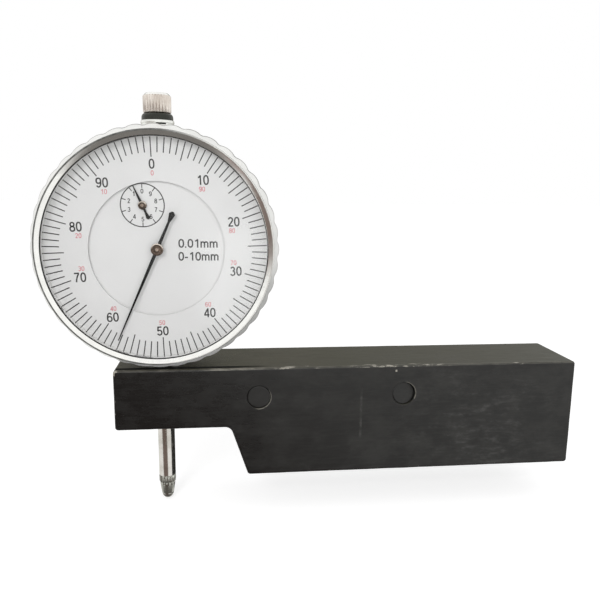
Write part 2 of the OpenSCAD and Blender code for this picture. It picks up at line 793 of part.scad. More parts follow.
module contact_point()
    color("#c3beb6")
    at_stem() difference() {
        rotate_extrude() polygon([
            [0, ball_r - tip_drop], [ball_r, ball_r - tip_drop],
            [plunger_r, point_shoulder - grip_len], [plunger_r, point_shoulder],
            [shank_r, point_shoulder], [shank_r, point_shoulder + shank_len], [0, point_shoulder + shank_len]
        ]);
        translate([0, 0, ball_r - tip_drop]) sphere(r = ball_r + fit_clear);
    }

module contact_ball()
    color("#dddbd6")
    at_stem() translate([0, 0, ball_r - tip_drop]) sphere(r = ball_r);

module stop_cap() {
    valley = cap_d / 2 - ridge_depth;
    crest = cap_d / 2;
    outline = [for (i = [0:cap_ridges - 1], p = [
        [-ridge_root, valley], [-ridge_top, crest], [ridge_top, crest], [ridge_root, valley]
    ]) let (a = (i + p[0]) * 360 / cap_ridges) p[1] * [cos(a), sin(a)]];
    color("#cdc5bb")
    at_stem() difference() {
        intersection() {
            translate([0, 0, cap_low]) linear_extrude(cap_h) polygon(outline);
            union() {
                disc(cap_d / 2, cap_low, cap_low + cap_h - cap_chamfer);
                translate([0, 0, cap_low + cap_h - cap_chamfer])
                    cylinder(r1 = cap_d / 2, r2 = cap_d / 2 - cap_chamfer, h = cap_chamfer);
            }
        }
        disc(shank_r + fit_clear, cap_low - cut, cap_low + shank_len + fit_clear);
    }
}

module guide_arm()
    color("#b9b9b4")
    translate([0, 0, arm_low]) at_stem() difference() {
        union() {
            disc(plunger_r + collar_wall, 0, guide_h);
            translate([0, -arm_t / 2, 0]) cube([spring_x + arm_t / 2, arm_t, guide_h]);
        }
        disc(plunger_r + fit_clear, -cut, guide_h + cut);
        translate([0, 0, guide_h / 2]) cross_bar(tenon_r + fit_clear, 0, plunger_r + collar_wall + cut);
    }

module guide_pin()
    color("#d0d0cc")
    at_dial(0, guide_y) {
        disc(pin_r, pin_back, -plunger_r - collar_wall);
        disc(tenon_r, -plunger_r - collar_wall - cut, -plunger_r - fit_clear);
    }

module counter_arbor()
    color("#c9c9c6")
    at_dial(counter_x, counter_y) {
        toothed(counter_teeth, 0, -counter_pinion_w / 2, counter_pinion_w / 2);
        disc(pivot_r, pin_back, cut - counter_pinion_w / 2);
        disc(seat_r, counter_pinion_w / 2 - cut, wheel_front);
        disc(arbor_r, wheel_front - cut, small_back);
        disc(pivot_r, small_back - cut, small_front + small_hub_h);
    }

// A wheel with round lightening holes
module train_wheel(phase)
    difference() {
        toothed(wheel_teeth, phase, wheel_back, wheel_front);
        disc(seat_r + fit_clear, wheel_back - cut, wheel_front + cut);
        for (i = [1:wheel_holes]) rotate(360 * i / wheel_holes) translate([wheel_hole_place, 0, 0])
            disc(wheel_hole_r, wheel_back - cut, wheel_front + cut);
    }

module counter_wheel()
    color("#c9a24c")
    at_dial(counter_x, counter_y) train_wheel(counter_dir + 180);

// Outline of a hand that points along +y, with a tail that flares to a blunt point
module hand_shape(reach, tail, w, spade) {
    neck = 1.75 * spade - tail;
    cheek = 0.37 * spade - tail;
    polygon([
        [w / 8, reach], [-w / 8, reach], [-w / 2, 0], [-w / 3, neck],
        [-spade / 2, cheek], [-spade / 6, -tail], [spade / 6, -tail],
        [spade / 2, cheek], [w / 3, neck], [w / 2, 0]
    ]);
}

module main_hand()
    color("#161616")
    at_dial() difference() {
        union() {
            rotate(-hand_turn) translate([0, 0, hand_back]) linear_extrude(hand_t)
                hand_shape(hand_len, hand_tail, hand_w, spade_w);
            disc(hub_r - cut, hand_back, hand_front);
        }
        disc(arbor_r + fit_clear, hand_back - cut, hand_front + cut);
    }

module hand_hub()
    color("#8f6f4e")
    at_dial() difference() {
        union() {
            disc(hub_r, hand_front, hand_front + hub_h);
            disc(arbor_r, hand_back - pass_gap, hand_front + cut);
        }
        disc(pivot_r + fit_clear, hand_back - pass_gap - cut, hand_front + hub_h + cut);
    }

module centre_arbor()
    color("#c9c9c6")
    at_dial() {
        toothed(centre_teeth, centre_phase, wheel_back - pass_gap, wheel_front + pass_gap);
        disc(pivot_r, bridge_back, wheel_back);
        disc(arbor_r, wheel_front, hand_back - pass_gap);
        disc(pivot_r, hand_back - pass_gap - cut, hand_front + hub_h);
    }

module counter_hand()
    color("#1c1c1c")
    at_dial(counter_x, counter_y) difference() {
        union() {
            rotate(-small_turn) translate([0, 0, small_back]) linear_extrude(hand_t)
                hand_shape(small_len, small_tail, small_w, small_spade);
            disc(small_hub_r - cut, small_back, small_front);
        }
        disc(pivot_r + fit_clear, small_back - cut, small_front + cut);
    }

module counter_hub()
    color("#8f6f4e")
    at_dial(counter_x, counter_y)
        tube(small_hub_r, pivot_r + fit_clear, small_front, small_front + small_hub_h);

module takeup_arbor()
    color("#c9c9c6")
    at_dial(takeup_x, takeup_y) {
        disc(pivot_r, bridge_back, wheel_back);
        disc(seat_r, bridge_front + pass_gap, plate_back - collet_gap);
        disc(pivot_r, wheel_front, plate_front);
    }

module takeup_wheel()
    color("#c9a24c")
    at_dial(takeup_x, takeup_y) train_wheel(takeup_phase);

module hairspring_collet()
    color("#c9ad68")
    at_dial(takeup_x, takeup_y) tube(collet_r, seat_r + fit_clear, wheel_front, plate_back - collet_gap);

module bezel()
    color("#c8c7c3")
    at_dial() difference() {
        union() {
            intersection() {
                translate([0, 0, skirt_back]) linear_extrude(bezel_shoulder - skirt_back) {
                    circle(valley_r);
                    for (i = [1:scallop_count]) rotate(360 * i / scallop_count)
                        translate([bezel_r - scallop_r, 0]) circle(scallop_r);
                }
                union() {
                    disc(bezel_r, skirt_back, slant_back);
                    translate([0, 0, slant_back]) cylinder(r1 = bezel_r, r2 = ring_r, h = slant_len);
                }
            }
            disc(ring_r, bezel_shoulder - cut, ring_top);
        }
        disc(bezel_bore, skirt_back - cut, crystal_front);
        disc(window_r, crystal_back, ring_top + cut);
        translate([0, 0, ring_top - ring_slope])
            cylinder(r1 = window_r, r2 = rim_over, h = ring_slope + cut);
        disc(wire_out, wire_mid - wire_w / 2 - wire_side, wire_mid + wire_w / 2 + wire_side);
    }

module crystal()
    color("#e8f0f2", 0.25)
    at_dial() disc(seated_r, crystal_back, crystal_front);

module spacer_ring()
    color("#d5d5d2")
    at_dial() tube(seated_r, bezel_bore - spacer_w, dial_face, crystal_back);

module dial_ring()
    color("#e4e4e1")
    at_dial() tube(seated_r, dial_opening, dial_back, dial_face);

module retaining_ring()
    color("#b5b5b2")
    at_dial() tube(seated_r, bezel_bore - spacer_w, retain_back, dial_back);

gauge_block();
for (i = [1:2]) face_plug(i);
clamp_screw();
clamp_pad();
indicator_case();
stem();
stem_bush(stem_low);  // stem_bush_lower
stem_bush(stem_high - bush_len);  // stem_bush_upper
top_bush();
cushion_ring();
back_cover();
for (i = [1:4]) cover_screw(i);
bezel_wire();
front_plate();
for (i = [1:3]) plate_pillar(i);
for (i = [1:3]) plate_screw(i);
centre_bridge();
for (i = [1:2]) bridge_post(i);
guide_rail();
for (i = [1:2]) guide_screw(i);
spring_post();
return_spring();
hairspring();
hairspring_stud();
dial_disc();
spindle();
contact_point();
contact_ball();
stop_cap();
guide_arm();
guide_pin();
counter_arbor();
counter_wheel();
counter_hand();
counter_hub();
centre_arbor();
main_hand();
hand_hub();
takeup_arbor();
takeup_wheel();
hairspring_collet();
bezel();
crystal();
spacer_ring();
dial_ring();
retaining_ring();
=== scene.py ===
import json
import math

import bmesh
import bpy
from mathutils import Matrix, Vector, noise


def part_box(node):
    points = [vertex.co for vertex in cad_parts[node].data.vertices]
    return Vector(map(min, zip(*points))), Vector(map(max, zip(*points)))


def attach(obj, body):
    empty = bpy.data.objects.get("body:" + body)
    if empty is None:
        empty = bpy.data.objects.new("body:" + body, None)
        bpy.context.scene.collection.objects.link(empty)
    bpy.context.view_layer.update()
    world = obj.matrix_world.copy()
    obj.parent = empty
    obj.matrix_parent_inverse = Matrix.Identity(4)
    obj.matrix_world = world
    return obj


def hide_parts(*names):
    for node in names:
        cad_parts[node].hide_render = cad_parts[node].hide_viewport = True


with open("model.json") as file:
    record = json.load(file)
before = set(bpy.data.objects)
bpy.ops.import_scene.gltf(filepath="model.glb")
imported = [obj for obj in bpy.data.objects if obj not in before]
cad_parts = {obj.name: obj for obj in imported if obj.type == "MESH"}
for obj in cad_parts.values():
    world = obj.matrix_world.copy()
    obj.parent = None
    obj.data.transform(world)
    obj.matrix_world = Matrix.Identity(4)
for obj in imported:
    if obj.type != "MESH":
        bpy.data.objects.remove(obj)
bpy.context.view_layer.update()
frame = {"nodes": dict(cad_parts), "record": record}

scene = bpy.context.scene
scene.view_settings.view_transform = "Standard"
nodes = frame["nodes"]
MM = 0.001
TAU = 2 * math.pi


def span(node):
    """A CAD node's lowest and highest corners, in millimetres."""
    low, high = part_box(node)
    return low / MM, high / MM


def middle(node):
    low, high = span(node)
    return (low + high) / 2


def half_width(node):
    low, high = span(node)
    return (high.x - low.x) / 2


# Axes, faces and sizes, read from the solids
stem_x = middle("stop_cap").x
dial_z = middle("dial_ring").z
ring_face = -span("dial_ring")[0].y
disc_face = -span("dial_disc")[0].y
counter_x = middle("counter_hub").x - stem_x
counter_y = middle("counter_hub").z - dial_z
rod_r = half_width("spindle")
plugs = ("face_plug_1", "face_plug_2")
plug_r = half_width(plugs[0])
FIT_GAP = 0.02


def at_dial(x, y, d):
    """Dial frame, in millimetres: x right, y up, d out of the dial."""
    return Vector((stem_x + x, -d, dial_z + y)) * MM


def at_counter(x, y, d):
    return at_dial(counter_x + x, counter_y + y, d)


def at_stem(x, y, z):
    return Vector((stem_x + x, y, z)) * MM


# Bezel sizes
bezel_low, bezel_high = span("bezel")
bezel_r = half_width("bezel")
bezel_back, bezel_top = -bezel_high.y, -bezel_low.y
crystal_front = -span("crystal")[0].y
bore_r = half_width("crystal") + FIT_GAP
wire_low, wire_high = span("bezel_wire")
scallops = 40
scallop_r = 4.0
scallop_depth = 0.45
lip_width = 0.8
ring_wall = 0.65
ring_rise = 0.9
slant_depth = 2.4
valley_r, centre_r = bezel_r - scallop_depth, bezel_r - scallop_r
window_r, ring_r = bore_r - lip_width, bore_r + ring_wall
shoulder = bezel_top - ring_rise
slant_back = shoulder - slant_depth


# Materials

# Sockets of the Mix node for colours
MIX_SHARE, MIX_A, MIX_B, MIX_RESULT = 0, 6, 7, 2


class Graph:
    """The node tree of a new material or world. A material's lengths are in object coordinates."""

    def __init__(self, name, kind="Material"):
        library = bpy.data.worlds if kind == "World" else bpy.data.materials
        self.owner = library.new(name)
        self.owner.use_nodes = True
        self.tree = self.owner.node_tree
        self.tree.nodes.clear()
        self.out = self.add("Output" + kind)

    def add(self, kind, **settings):
        made = self.tree.nodes.new("ShaderNode" + kind)
        for key, value in settings.items():
            setattr(made, key, value)
        return made

    def put(self, value, socket):
        if isinstance(value, bpy.types.NodeSocket):
            self.tree.links.new(value, socket)
        elif socket.type == "RGBA" and len(value) == 3:
            socket.default_value = (*value, 1)
        else:
            socket.default_value = value

    def place(self, scale, shift=(0, 0, 0)):
        mapping = self.add("Mapping")
        self.put(self.add("TexCoord").outputs["Object"], mapping.inputs["Vector"])
        mapping.inputs["Scale"].default_value = scale
        mapping.inputs["Location"].default_value = shift
        return mapping.outputs["Vector"]

    def axes(self):
        split = self.add("SeparateXYZ")
        self.put(self.place((1 / MM,) * 3), split.inputs[0])
        return split.outputs["X"], split.outputs["Y"], split.outputs["Z"]

    def outward(self):
        """The distance in front of the block's mid plane, in millimetres."""
        return self.math("MULTIPLY", self.axes()[1], -1.0)

    def upward(self):
        """The upward part of the surface's normal."""
        split = self.add("SeparateXYZ")
        self.put(self.add("NewGeometry").outputs["Normal"], split.inputs[0])
        return split.outputs["Z"]

    def around(self, axis_x, axis_z):
        """The ways right and up from an axis along Y, and the distance from it, in millimetres."""
        x, _, z = self.axes()
        across = self.math("SUBTRACT", x, axis_x)
        along = self.math("SUBTRACT", z, axis_z)
        squares = self.math("ADD", self.both(across, across), self.both(along, along))
        return across, along, self.math("SQRT", squares)

    def noise(self, scale, detail=3.0, rough=0.55, shift=(0, 0, 0)):
        tex = self.add("TexNoise")
        self.put(self.place(scale, shift), tex.inputs["Vector"])
        tex.inputs["Scale"].default_value = 1
        tex.inputs["Detail"].default_value = detail
        tex.inputs["Roughness"].default_value = rough
        return tex.outputs["Fac"]

    def math(self, kind, a, b=0.0):
        made = self.add("Math", operation=kind)
        self.put(a, made.inputs[0])
        self.put(b, made.inputs[1])
        return made.outputs[0]

    def fit(self, value, low, high, to_low=0.0, to_high=1.0):
        made = self.add("MapRange", interpolation_type="SMOOTHSTEP")
        self.put(value, made.inputs["Value"])
        limits = {"From Min": low, "From Max": high, "To Min": to_low, "To Max": to_high}
        for name, amount in limits.items():
            made.inputs[name].default_value = amount
        return made.outputs["Result"]

    def near(self, value, centre, half, soft):
        """1 within half of the centre, and 0 from soft further out."""
        away = self.math("ABSOLUTE", self.math("SUBTRACT", value, centre))
        return self.fit(away, half, half + soft, 1.0, 0.0)

    def both(self, *shares):
        total = shares[0]
        for share in shares[1:]:
            total = self.math("MULTIPLY", total, share)
        return total

    def either(self, *shares):
        total = shares[0]
        for share in shares[1:]:
            total = self.math("MAXIMUM", total, share)
        return total

    def blend(self, share, a, b):
        made = self.add("Mix", data_type="RGBA")
        self.put(share, made.inputs[MIX_SHARE])
        self.put(a, made.inputs[MIX_A])
        self.put(b, made.inputs[MIX_B])
        return made.outputs[MIX_RESULT]

    def bump(self, height, strength, depth):
        made = self.add("Bump")
        made.inputs["Strength"].default_value = strength
        made.inputs["Distance"].default_value = depth * MM
        self.put(height, made.inputs["Height"])
        return made.outputs["Normal"]

    def finish(self, color, rough, metallic=0.0, normal=None, **sockets):
        shader = self.add("BsdfPrincipled")
        self.put(color, shader.inputs["Base Color"])
        self.put(rough, shader.inputs["Roughness"])
        self.put(metallic, shader.inputs["Metallic"])
        if normal is not None:
            self.put(normal, shader.inputs["Normal"])
        for name, value in sockets.items():
            self.put(value, shader.inputs[name.replace("_", " ")])
        self.put(shader.outputs[0], self.out.inputs["Surface"])
        return self.owner


# Grain of worked metal, in marks to the metre along each axis
FINE = (2400, 2400, 2400)
TURNED = (160, 160, 5200)
DIAL_WHITE = (0.79, 0.79, 0.785)
# Along the block, in millimetres: where its darker end begins and fades out; the darker colour there is
# painted shade
DARK_END = (-66, 10)


def metal(name, pale, dark, rough, grain, depth=0.01):
    """Worked metal: fine tool marks along the axis with the lowest grain, and faint stains."""
    g = Graph(name)
    marks = g.noise(grain, 4.0, 0.6)
    stain = g.noise((250, 250, 250), 4.0, 0.6)
    color = g.blend(g.fit(stain, 0.35, 0.7), pale, dark)
    color = g.blend(g.fit(marks, 0.35, 0.75, 0.0, 0.35), color, dark)
    worked = g.fit(marks, 0.3, 0.7, rough * 0.75, rough * 1.2)
    gloss = g.math("ADD", worked, g.fit(stain, 0.45, 0.75, 0.0, 0.08))
    return g.finish(color, gloss, 1.0, g.bump(marks, 0.25, depth))


def block_finish(name, edge):
    """Black oxide on ground steel, worn through in places, with painted highlights and painted shade. The
    places are in millimetres.
    """
    g = Graph(name)
    x, _, z = g.axes()
    front = g.outward()
    level = g.fit(g.upward(), 0.55, 0.9)
    brush = g.noise((150, 1500, 1500), 6.0, 0.7)
    stroke = g.noise((260, 900, 900), 5.0, 0.7, (0.7, 0.2, 0.4))
    mottle = g.noise((130, 170, 210), 6.0, 0.65)
    cloud = g.noise((28, 30, 34), 3.0, 0.5, (0.3, 0.1, 0.7))
    color = g.blend(g.fit(mottle, 0.36, 0.68), (0.0085, 0.0082, 0.0078), (0.0225, 0.022, 0.0205))
    color = g.blend(g.fit(brush, 0.45, 0.7, 0.0, 0.4), color, (0.033, 0.032, 0.030))
    # Darker towards the left end: painted shade
    color = g.blend(g.fit(x, *DARK_END, 0.78, 0.0), color, (0.004, 0.0036, 0.0034))
    olive = g.blend(g.fit(mottle, 0.3, 0.7), (0.037, 0.036, 0.0245), (0.055, 0.054, 0.04))
    # Darker, yellower top towards the left: painted shadow of the bezel over the top's olive tone
    olive = g.blend(g.fit(x, -48, 0, 0.9, 0.0), olive, (0.023, 0.0215, 0.0075))
    olive = g.blend(g.fit(cloud, 0.4, 0.65, 0.0, 0.4), olive, (0.06, 0.054, 0.043))
    # A dark strip on the top face just behind the front edge at the left: painted shadow of the dial, also
    # made rougher
    painted_shadow = g.both(g.near(front, 8.55, 0.6, 0.3), g.fit(x, -48, -36, 1.0, 0.0), level)
    olive = g.blend(painted_shadow, olive, (0.002, 0.002, 0.0015))
    color = g.blend(level, color, olive)
    rubbed = g.both(g.fit(stroke, 0.42, 0.68), g.fit(mottle, 0.42, 0.64), g.fit(cloud, 0.36, 0.62))
    smear = g.both(rubbed, g.fit(x, -30, 25, 0.1, 0.7))
    color = g.blend(smear, color, (0.072, 0.071, 0.068))
    patchy = g.fit(g.noise((500, 500, 420)), 0.4, 0.7, 0.1, 0.5)
    scratch = g.both(g.near(x, -14.3, 0.12, 0.35), g.near(z, 15.6, 5.0, 2.4), patchy)
    color = g.blend(scratch, color, (0.085, 0.082, 0.076))
    rough = g.math("ADD", g.fit(brush, 0.3, 0.7, 0.36, 0.46), g.fit(mottle, 0.4, 0.7, 0.0, 0.12))
    rough = g.math("ADD", g.both(rough, g.fit(x, *DARK_END, 0.62, 1.0)), painted_shadow)
    chips = g.noise((330, 900, 900), 5.0, 0.7, (0.2, 0.5, 0.1))
    if edge:
        top = g.both(g.fit(z, 27.3, 28.0), g.fit(front, 8.8, 9.4))
        band = g.either(g.near(x, -4.5, 8.5, 7.0), g.near(x, -31.0, 2.5, 5.0), g.near(x, 27.5, 0.5, 1.5))
        worn = g.both(top, band, g.fit(chips, 0.5, 0.56))
        corner = g.both(g.near(x, -76.1, 0.5, 0.4), g.near(z, 27.9, 0.5, 0.4))
        # A thin lighter line along the top front edge, and a pale band on it further left: painted
        # highlights
        line = g.both(g.fit(z, 27.6, 28.1), g.fit(front, 9.0, 9.5), g.fit(chips, 0.3, 0.6, 0.05, 0.16))
        pale = g.both(g.fit(z, 27.5, 28.0), g.fit(front, 9.0, 9.5), g.near(x, -47.0, 4.5, 6.0))
        pale = g.both(pale, g.fit(chips, 0.3, 0.6, 0.2, 0.6))
        # worn mixes real chips and nicks with these painted highlights
        worn = g.either(worn, g.fit(chips, 0.56, 0.72, 0.0, 0.3), corner, line, pale)
    else:
        rim = g.both(g.fit(z, 27.85, 28.25), g.fit(front, 8.4, 9.0))
        band = g.either(g.near(x, -3.0, 8.0, 7.0), g.near(x, -31.0, 2.0, 3.0))
        fleck = g.both(g.near(x, -5.3, 0.16, 0.14), g.near(z, 27.0, 0.18, 0.16), g.fit(front, 9.6, 9.9))
        worn = g.either(g.both(rim, band, g.fit(chips, 0.55, 0.6)), fleck)
    # A lighter arc on one side of each plug's bore edge, broken by chips: painted highlight
    for plug, lean, share in ((plugs[0], -0.7, 0.42), (plugs[1], 0.35, 0.5)):
        across, along, away = g.around(middle(plug).x, middle(plug).z)
        toward = g.math("ADD", across, g.math("MULTIPLY", along, lean))
        lip = g.both(g.near(away, plug_r + 0.1, 0.07, 0.06), g.fit(toward, 0.9, 2.2, 0.0, share))
        lip = g.both(lip, g.fit(front, 9.6, 9.9), g.fit(chips, 0.36, 0.5))
        worn = g.either(worn, lip)
    # The worn colour carries real wear and the painted highlights
    color = g.blend(worn, color, (0.36, 0.34, 0.29))
    ground = g.both(brush, g.fit(x, *DARK_END, 0.22, 0.45))
    height = g.math("ADD", ground, g.math("MULTIPLY", mottle, 0.8))
    return g.finish(color, rough, 0.0, g.bump(height, 0.45, 0.06), Specular_IOR_Level=0.42)


def rim_finish():
    """The bezel ring's outer rim: a dark line like a groove, darker on the left and fading to bright metal
    on the right as a painted reflection.
    """
    g = Graph("bezel_rim")
    x, _, _ = g.axes()
    grain = g.noise((900, 900, 900), 4.0, 0.6)
    # Dark on the left, bright metal on the right: painted reflection
    dark = g.both(g.fit(x, stem_x - 2, stem_x + 16, 0.95, 0.12), g.fit(grain, 0.3, 0.6, 0.85, 1.0))
    color = g.blend(dark, (0.9, 0.9, 0.88), (0.05, 0.052, 0.046))
    return g.finish(color, g.fit(grain, 0.3, 0.7, 0.26, 0.4), g.fit(dark, 0.0, 1.0, 1.0, 0.25))


def spacer_finish():
    """The ring under the crystal: polished bore, satin front with an off-centre black band, which is
    painted shade at the window's edge.
    """
    g = Graph("spacer_polished")
    grain = g.noise((1200, 1200, 1200), 4.0, 0.6)
    edge = -span("spacer_ring")[0].y
    front = g.fit(g.outward(), edge - 0.16, edge - 0.08)
    off_centre = 0.1
    _, _, away = g.around(stem_x - off_centre, dial_z - off_centre)
    # Black band round the window's edge, wider on one side: painted shade
    black = g.both(front, g.fit(away, window_r - 0.06, window_r + 0.02))
    color = g.blend(black, (0.84, 0.84, 0.83), (0.032, 0.032, 0.03))
    rough = g.math("ADD", g.fit(grain, 0.3, 0.7, 0.08, 0.16), g.math("MULTIPLY", front, 0.3))
    return g.finish(color, rough, g.fit(front, 0.0, 1.0, 1.0, 0.0))


def hub_finish():
    """The bevel on a hub: a painted highlight on its upper side, dark brass underneath."""
    g = Graph("hub_rim")
    grain = g.noise(FINE, 4.0, 0.6)
    # Lighter where the bevel faces up: painted highlight
    color = g.blend(g.fit(g.upward(), -0.1, 0.5), (0.13, 0.085, 0.06), (0.95, 0.86, 0.77))
    color = g.blend(g.fit(grain, 0.4, 0.75, 0.0, 0.3), color, (0.3, 0.21, 0.15))
    return g.finish(color, g.fit(grain, 0.3, 0.7, 0.18, 0.3), 1.0)


def dial_finish(name, tint, edge_r=None):
    """White enamel on paper grain. With a radius, the upper part of that edge is greyed, a painted shadow
    of the step.
    """
    g = Graph(name)
    paper = g.noise((2600, 2600, 2600), 3.0, 0.6)
    cloud = g.noise((55, 55, 55), 2.0, 0.5)
    shade = tuple(c * 0.955 for c in tint)
    color = g.blend(g.fit(cloud, 0.35, 0.65), tint, shade)
    color = g.blend(g.fit(paper, 0.35, 0.7, 0.0, 0.25), color, shade)
    if edge_r:
        _, along, away = g.around(stem_x, dial_z)
        # Grey rim on the upper part of the disc's edge: painted shadow
        grey = g.both(g.fit(away, edge_r - 0.32, edge_r - 0.1), g.fit(along, -9, 9, 0.0, 0.75))
        color = g.blend(grey, color, (0.22, 0.22, 0.22))
    return g.finish(color, g.fit(paper, 0.3, 0.7, 0.42, 0.55), 0.0, g.bump(paper, 0.1, 0.004))


def ink_finish(name, color, thin):
    g = Graph(name)
    grain = g.noise((3200, 3200, 3200), 3.0, 0.6)
    return g.finish(g.blend(g.fit(grain, 0.35, 0.75), color, thin), g.fit(grain, 0.3, 0.7, 0.4, 0.6))


def moulded(name, color, pale, rough, shine=0.5):
    g = Graph(name)
    grain = g.noise((1500, 1500, 1500), 4.0, 0.6)
    dust = g.noise((420, 420, 420), 4.0, 0.6)
    tone = g.blend(g.fit(dust, 0.5, 0.75), color, pale)
    gloss = g.fit(grain, 0.3, 0.7, rough * 0.85, rough * 1.2)
    return g.finish(tone, gloss, 0.0, g.bump(grain, 0.3, 0.02), Specular_IOR_Level=shine)


def bezel_finish():
    """Satin plate, with painted shade along the scallops' edges, weaker towards the lower right."""
    g = Graph("bezel_plate")
    marks = g.noise((1500, 300, 1500), 4.0, 0.6)
    stain = g.noise((250, 250, 250), 4.0, 0.6)
    across, along, away = g.around(stem_x, dial_z)
    step = TAU / scallops
    turn = g.math("ADD", g.math("ARCTAN2", along, across), TAU + step / 2)
    off = g.math("SUBTRACT", g.math("MODULO", turn, step), step / 2)
    side = g.math("MULTIPLY", g.math("SINE", off), centre_r)
    reach = g.math("SQRT", g.math("SUBTRACT", scallop_r ** 2, g.both(side, side)))
    edge = g.math("ADD", g.math("MULTIPLY", g.math("COSINE", off), centre_r), reach)
    short = g.math("SUBTRACT", g.math("MAXIMUM", edge, valley_r), away)
    behind = g.fit(g.outward(), slant_back - 0.1, slant_back + 0.05)
    below = g.math("SUBTRACT", across, along)
    # Grey along the scalloped edge: painted shade, also rougher
    edge_shade = g.both(g.fit(short, 0.08, 0.3, 0.92, 0.0), g.fit(stain, 0.3, 0.6, 0.7, 1.0), behind)
    # The painted shade fades towards the lower right
    edge_shade = g.both(edge_shade, g.fit(below, 6, 30, 1.0, 0.3))
    color = g.blend(g.fit(stain, 0.35, 0.7), (0.93, 0.93, 0.915), (0.87, 0.87, 0.855))
    color = g.blend(edge_shade, color, (0.2, 0.2, 0.195))
    gloss = g.math("ADD", g.fit(marks, 0.3, 0.7, 0.34, 0.46), g.fit(edge_shade, 0.0, 1.0, 0.0, 0.15))
    bare = g.both(g.fit(stain, 0.3, 0.7, 0.62, 0.54), g.fit(below, 6, 30, 1.0, 0.45))
    return g.finish(color, gloss, bare, g.bump(marks, 0.2, 0.005))


def crystal_finish():
    """Clear flat crystal that mirrors a little, less sharply where it is smeared."""
    g = Graph("crystal_clear")
    smear = g.noise((70, 70, 110), 4.0, 0.6)
    clear = g.add("BsdfTransparent")
    mirror = g.add("BsdfPrincipled")
    g.put((1, 1, 1), mirror.inputs["Base Color"])
    mirror.inputs["Metallic"].default_value = 1.0
    g.put(g.fit(smear, 0.4, 0.75, 0.02, 0.14), mirror.inputs["Roughness"])
    weight = g.add("LayerWeight")
    weight.inputs["Blend"].default_value = 0.5
    steep = g.math("POWER", weight.outputs["Facing"], 5.0)
    share = g.math("ADD", g.math("MULTIPLY", steep, 0.6), g.fit(smear, 0.3, 0.8, 0.012, 0.022))
    mix = g.add("MixShader")
    g.put(share, mix.inputs[0])
    g.put(clear.outputs[0], mix.inputs[1])
    g.put(mirror.outputs[0], mix.inputs[2])
    g.put(mix.outputs[0], g.out.inputs["Surface"])
    return g.owner


finishes = {
    "block_black": block_finish("block_black", False),
    "plug_black": block_finish("plug_black", False),
    "screw_black": moulded("screw_black", (0.018, 0.018, 0.018), (0.05, 0.049, 0.047), 0.4),
    "case_grey": metal("case_grey", (0.6, 0.6, 0.59), (0.55, 0.55, 0.54), 0.38, FINE),
    "stem_steel": metal("stem_steel", (0.66, 0.65, 0.62), (0.5, 0.49, 0.46), 0.2, TURNED),
    "bush_brass": metal("bush_brass", (0.62, 0.46, 0.24), (0.42, 0.3, 0.15), 0.3, TURNED),
    "collar_steel": metal("collar_steel", (0.93, 0.935, 0.91), (0.8, 0.805, 0.78), 0.3, TURNED),
    "cushion_black": moulded("cushion_black", (0.013, 0.0145, 0.01), (0.034, 0.037, 0.028), 0.3, 0.42),
    "plate_brass": metal("plate_brass", (0.66, 0.5, 0.25), (0.5, 0.37, 0.17), 0.32, (120, 2600, 2600)),
    "wheel_brass": metal("wheel_brass", (0.72, 0.53, 0.22), (0.52, 0.37, 0.14), 0.26, FINE),
    "arbor_steel": metal("arbor_steel", (0.68, 0.68, 0.66), (0.5, 0.5, 0.48), 0.2, (3200, 220, 3200)),
    "spring_steel": metal("spring_steel", (0.4, 0.42, 0.46), (0.26, 0.27, 0.3), 0.28, FINE),
    "dial_white": dial_finish("dial_white", DIAL_WHITE),
    "hand_black": moulded("hand_black", (0.005, 0.005, 0.005), (0.011, 0.011, 0.011), 0.42, 0.12),
    "hub_brass": metal("hub_brass", (0.13, 0.083, 0.056), (0.066, 0.042, 0.028), 0.34, FINE),
    "bezel_plate": bezel_finish(),
    "crystal_clear": crystal_finish(),
    "plunger_steel": metal(
        "plunger_steel", (0.74, 0.72, 0.69), (0.56, 0.54, 0.5), 0.13, TURNED, depth=0.004,
    ),
    "cap_steel": metal("cap_steel", (0.93, 0.87, 0.82), (0.72, 0.65, 0.59), 0.32, (2600, 2600, 300)),
    "ball_steel": metal("ball_steel", (0.44, 0.43, 0.4), (0.28, 0.27, 0.25), 0.18, FINE, depth=0.004),
}
block_edge = block_finish("block_edge", True)
point_steel = metal("point_steel", (0.45, 0.45, 0.41), (0.31, 0.31, 0.28), 0.2, TURNED, depth=0.003)
bezel_bright = metal(
    "bezel_bright", (0.97, 0.97, 0.95), (0.88, 0.875, 0.86), 0.14, (1800, 300, 1800), depth=0.003,
)
arbor_end = metal("arbor_end", (0.42, 0.33, 0.27), (0.26, 0.2, 0.16), 0.24, FINE)
hub_rim = hub_finish()
bezel_rim = rim_finish()
# Near-black for narrow gaps; on the window's lip wall and in the collar's groove it is painted shade
gap_and_shade_dark = moulded("gap_and_shade_dark", (0.012, 0.012, 0.011), (0.03, 0.03, 0.028), 0.6)
ink_black = ink_finish("ink_black", (0.018, 0.018, 0.018), (0.045, 0.045, 0.045))
ink_red = ink_finish("ink_red", (0.66, 0.16, 0.2), (0.72, 0.34, 0.36))

slot_of = {part["node"]: part["material_slot"] for part in frame["record"]["subparts"]}
for name, obj in nodes.items():
    obj.data.materials.clear()
    obj.data.materials.append(finishes[slot_of[name]])
own_finishes = {
    "centre_arbor": arbor_end,
    "counter_arbor": arbor_end,
    "spacer_ring": spacer_finish(),
    "dial_disc": dial_finish("disc_white", DIAL_WHITE, half_width("dial_disc")),
}
for name, finish in own_finishes.items():
    nodes[name].data.materials[0] = finish


# Mesh builders
ROUND, FINE_ROUND = 72, 96
PRINT_LOW, PRINT_HIGH = -0.01, 0.012


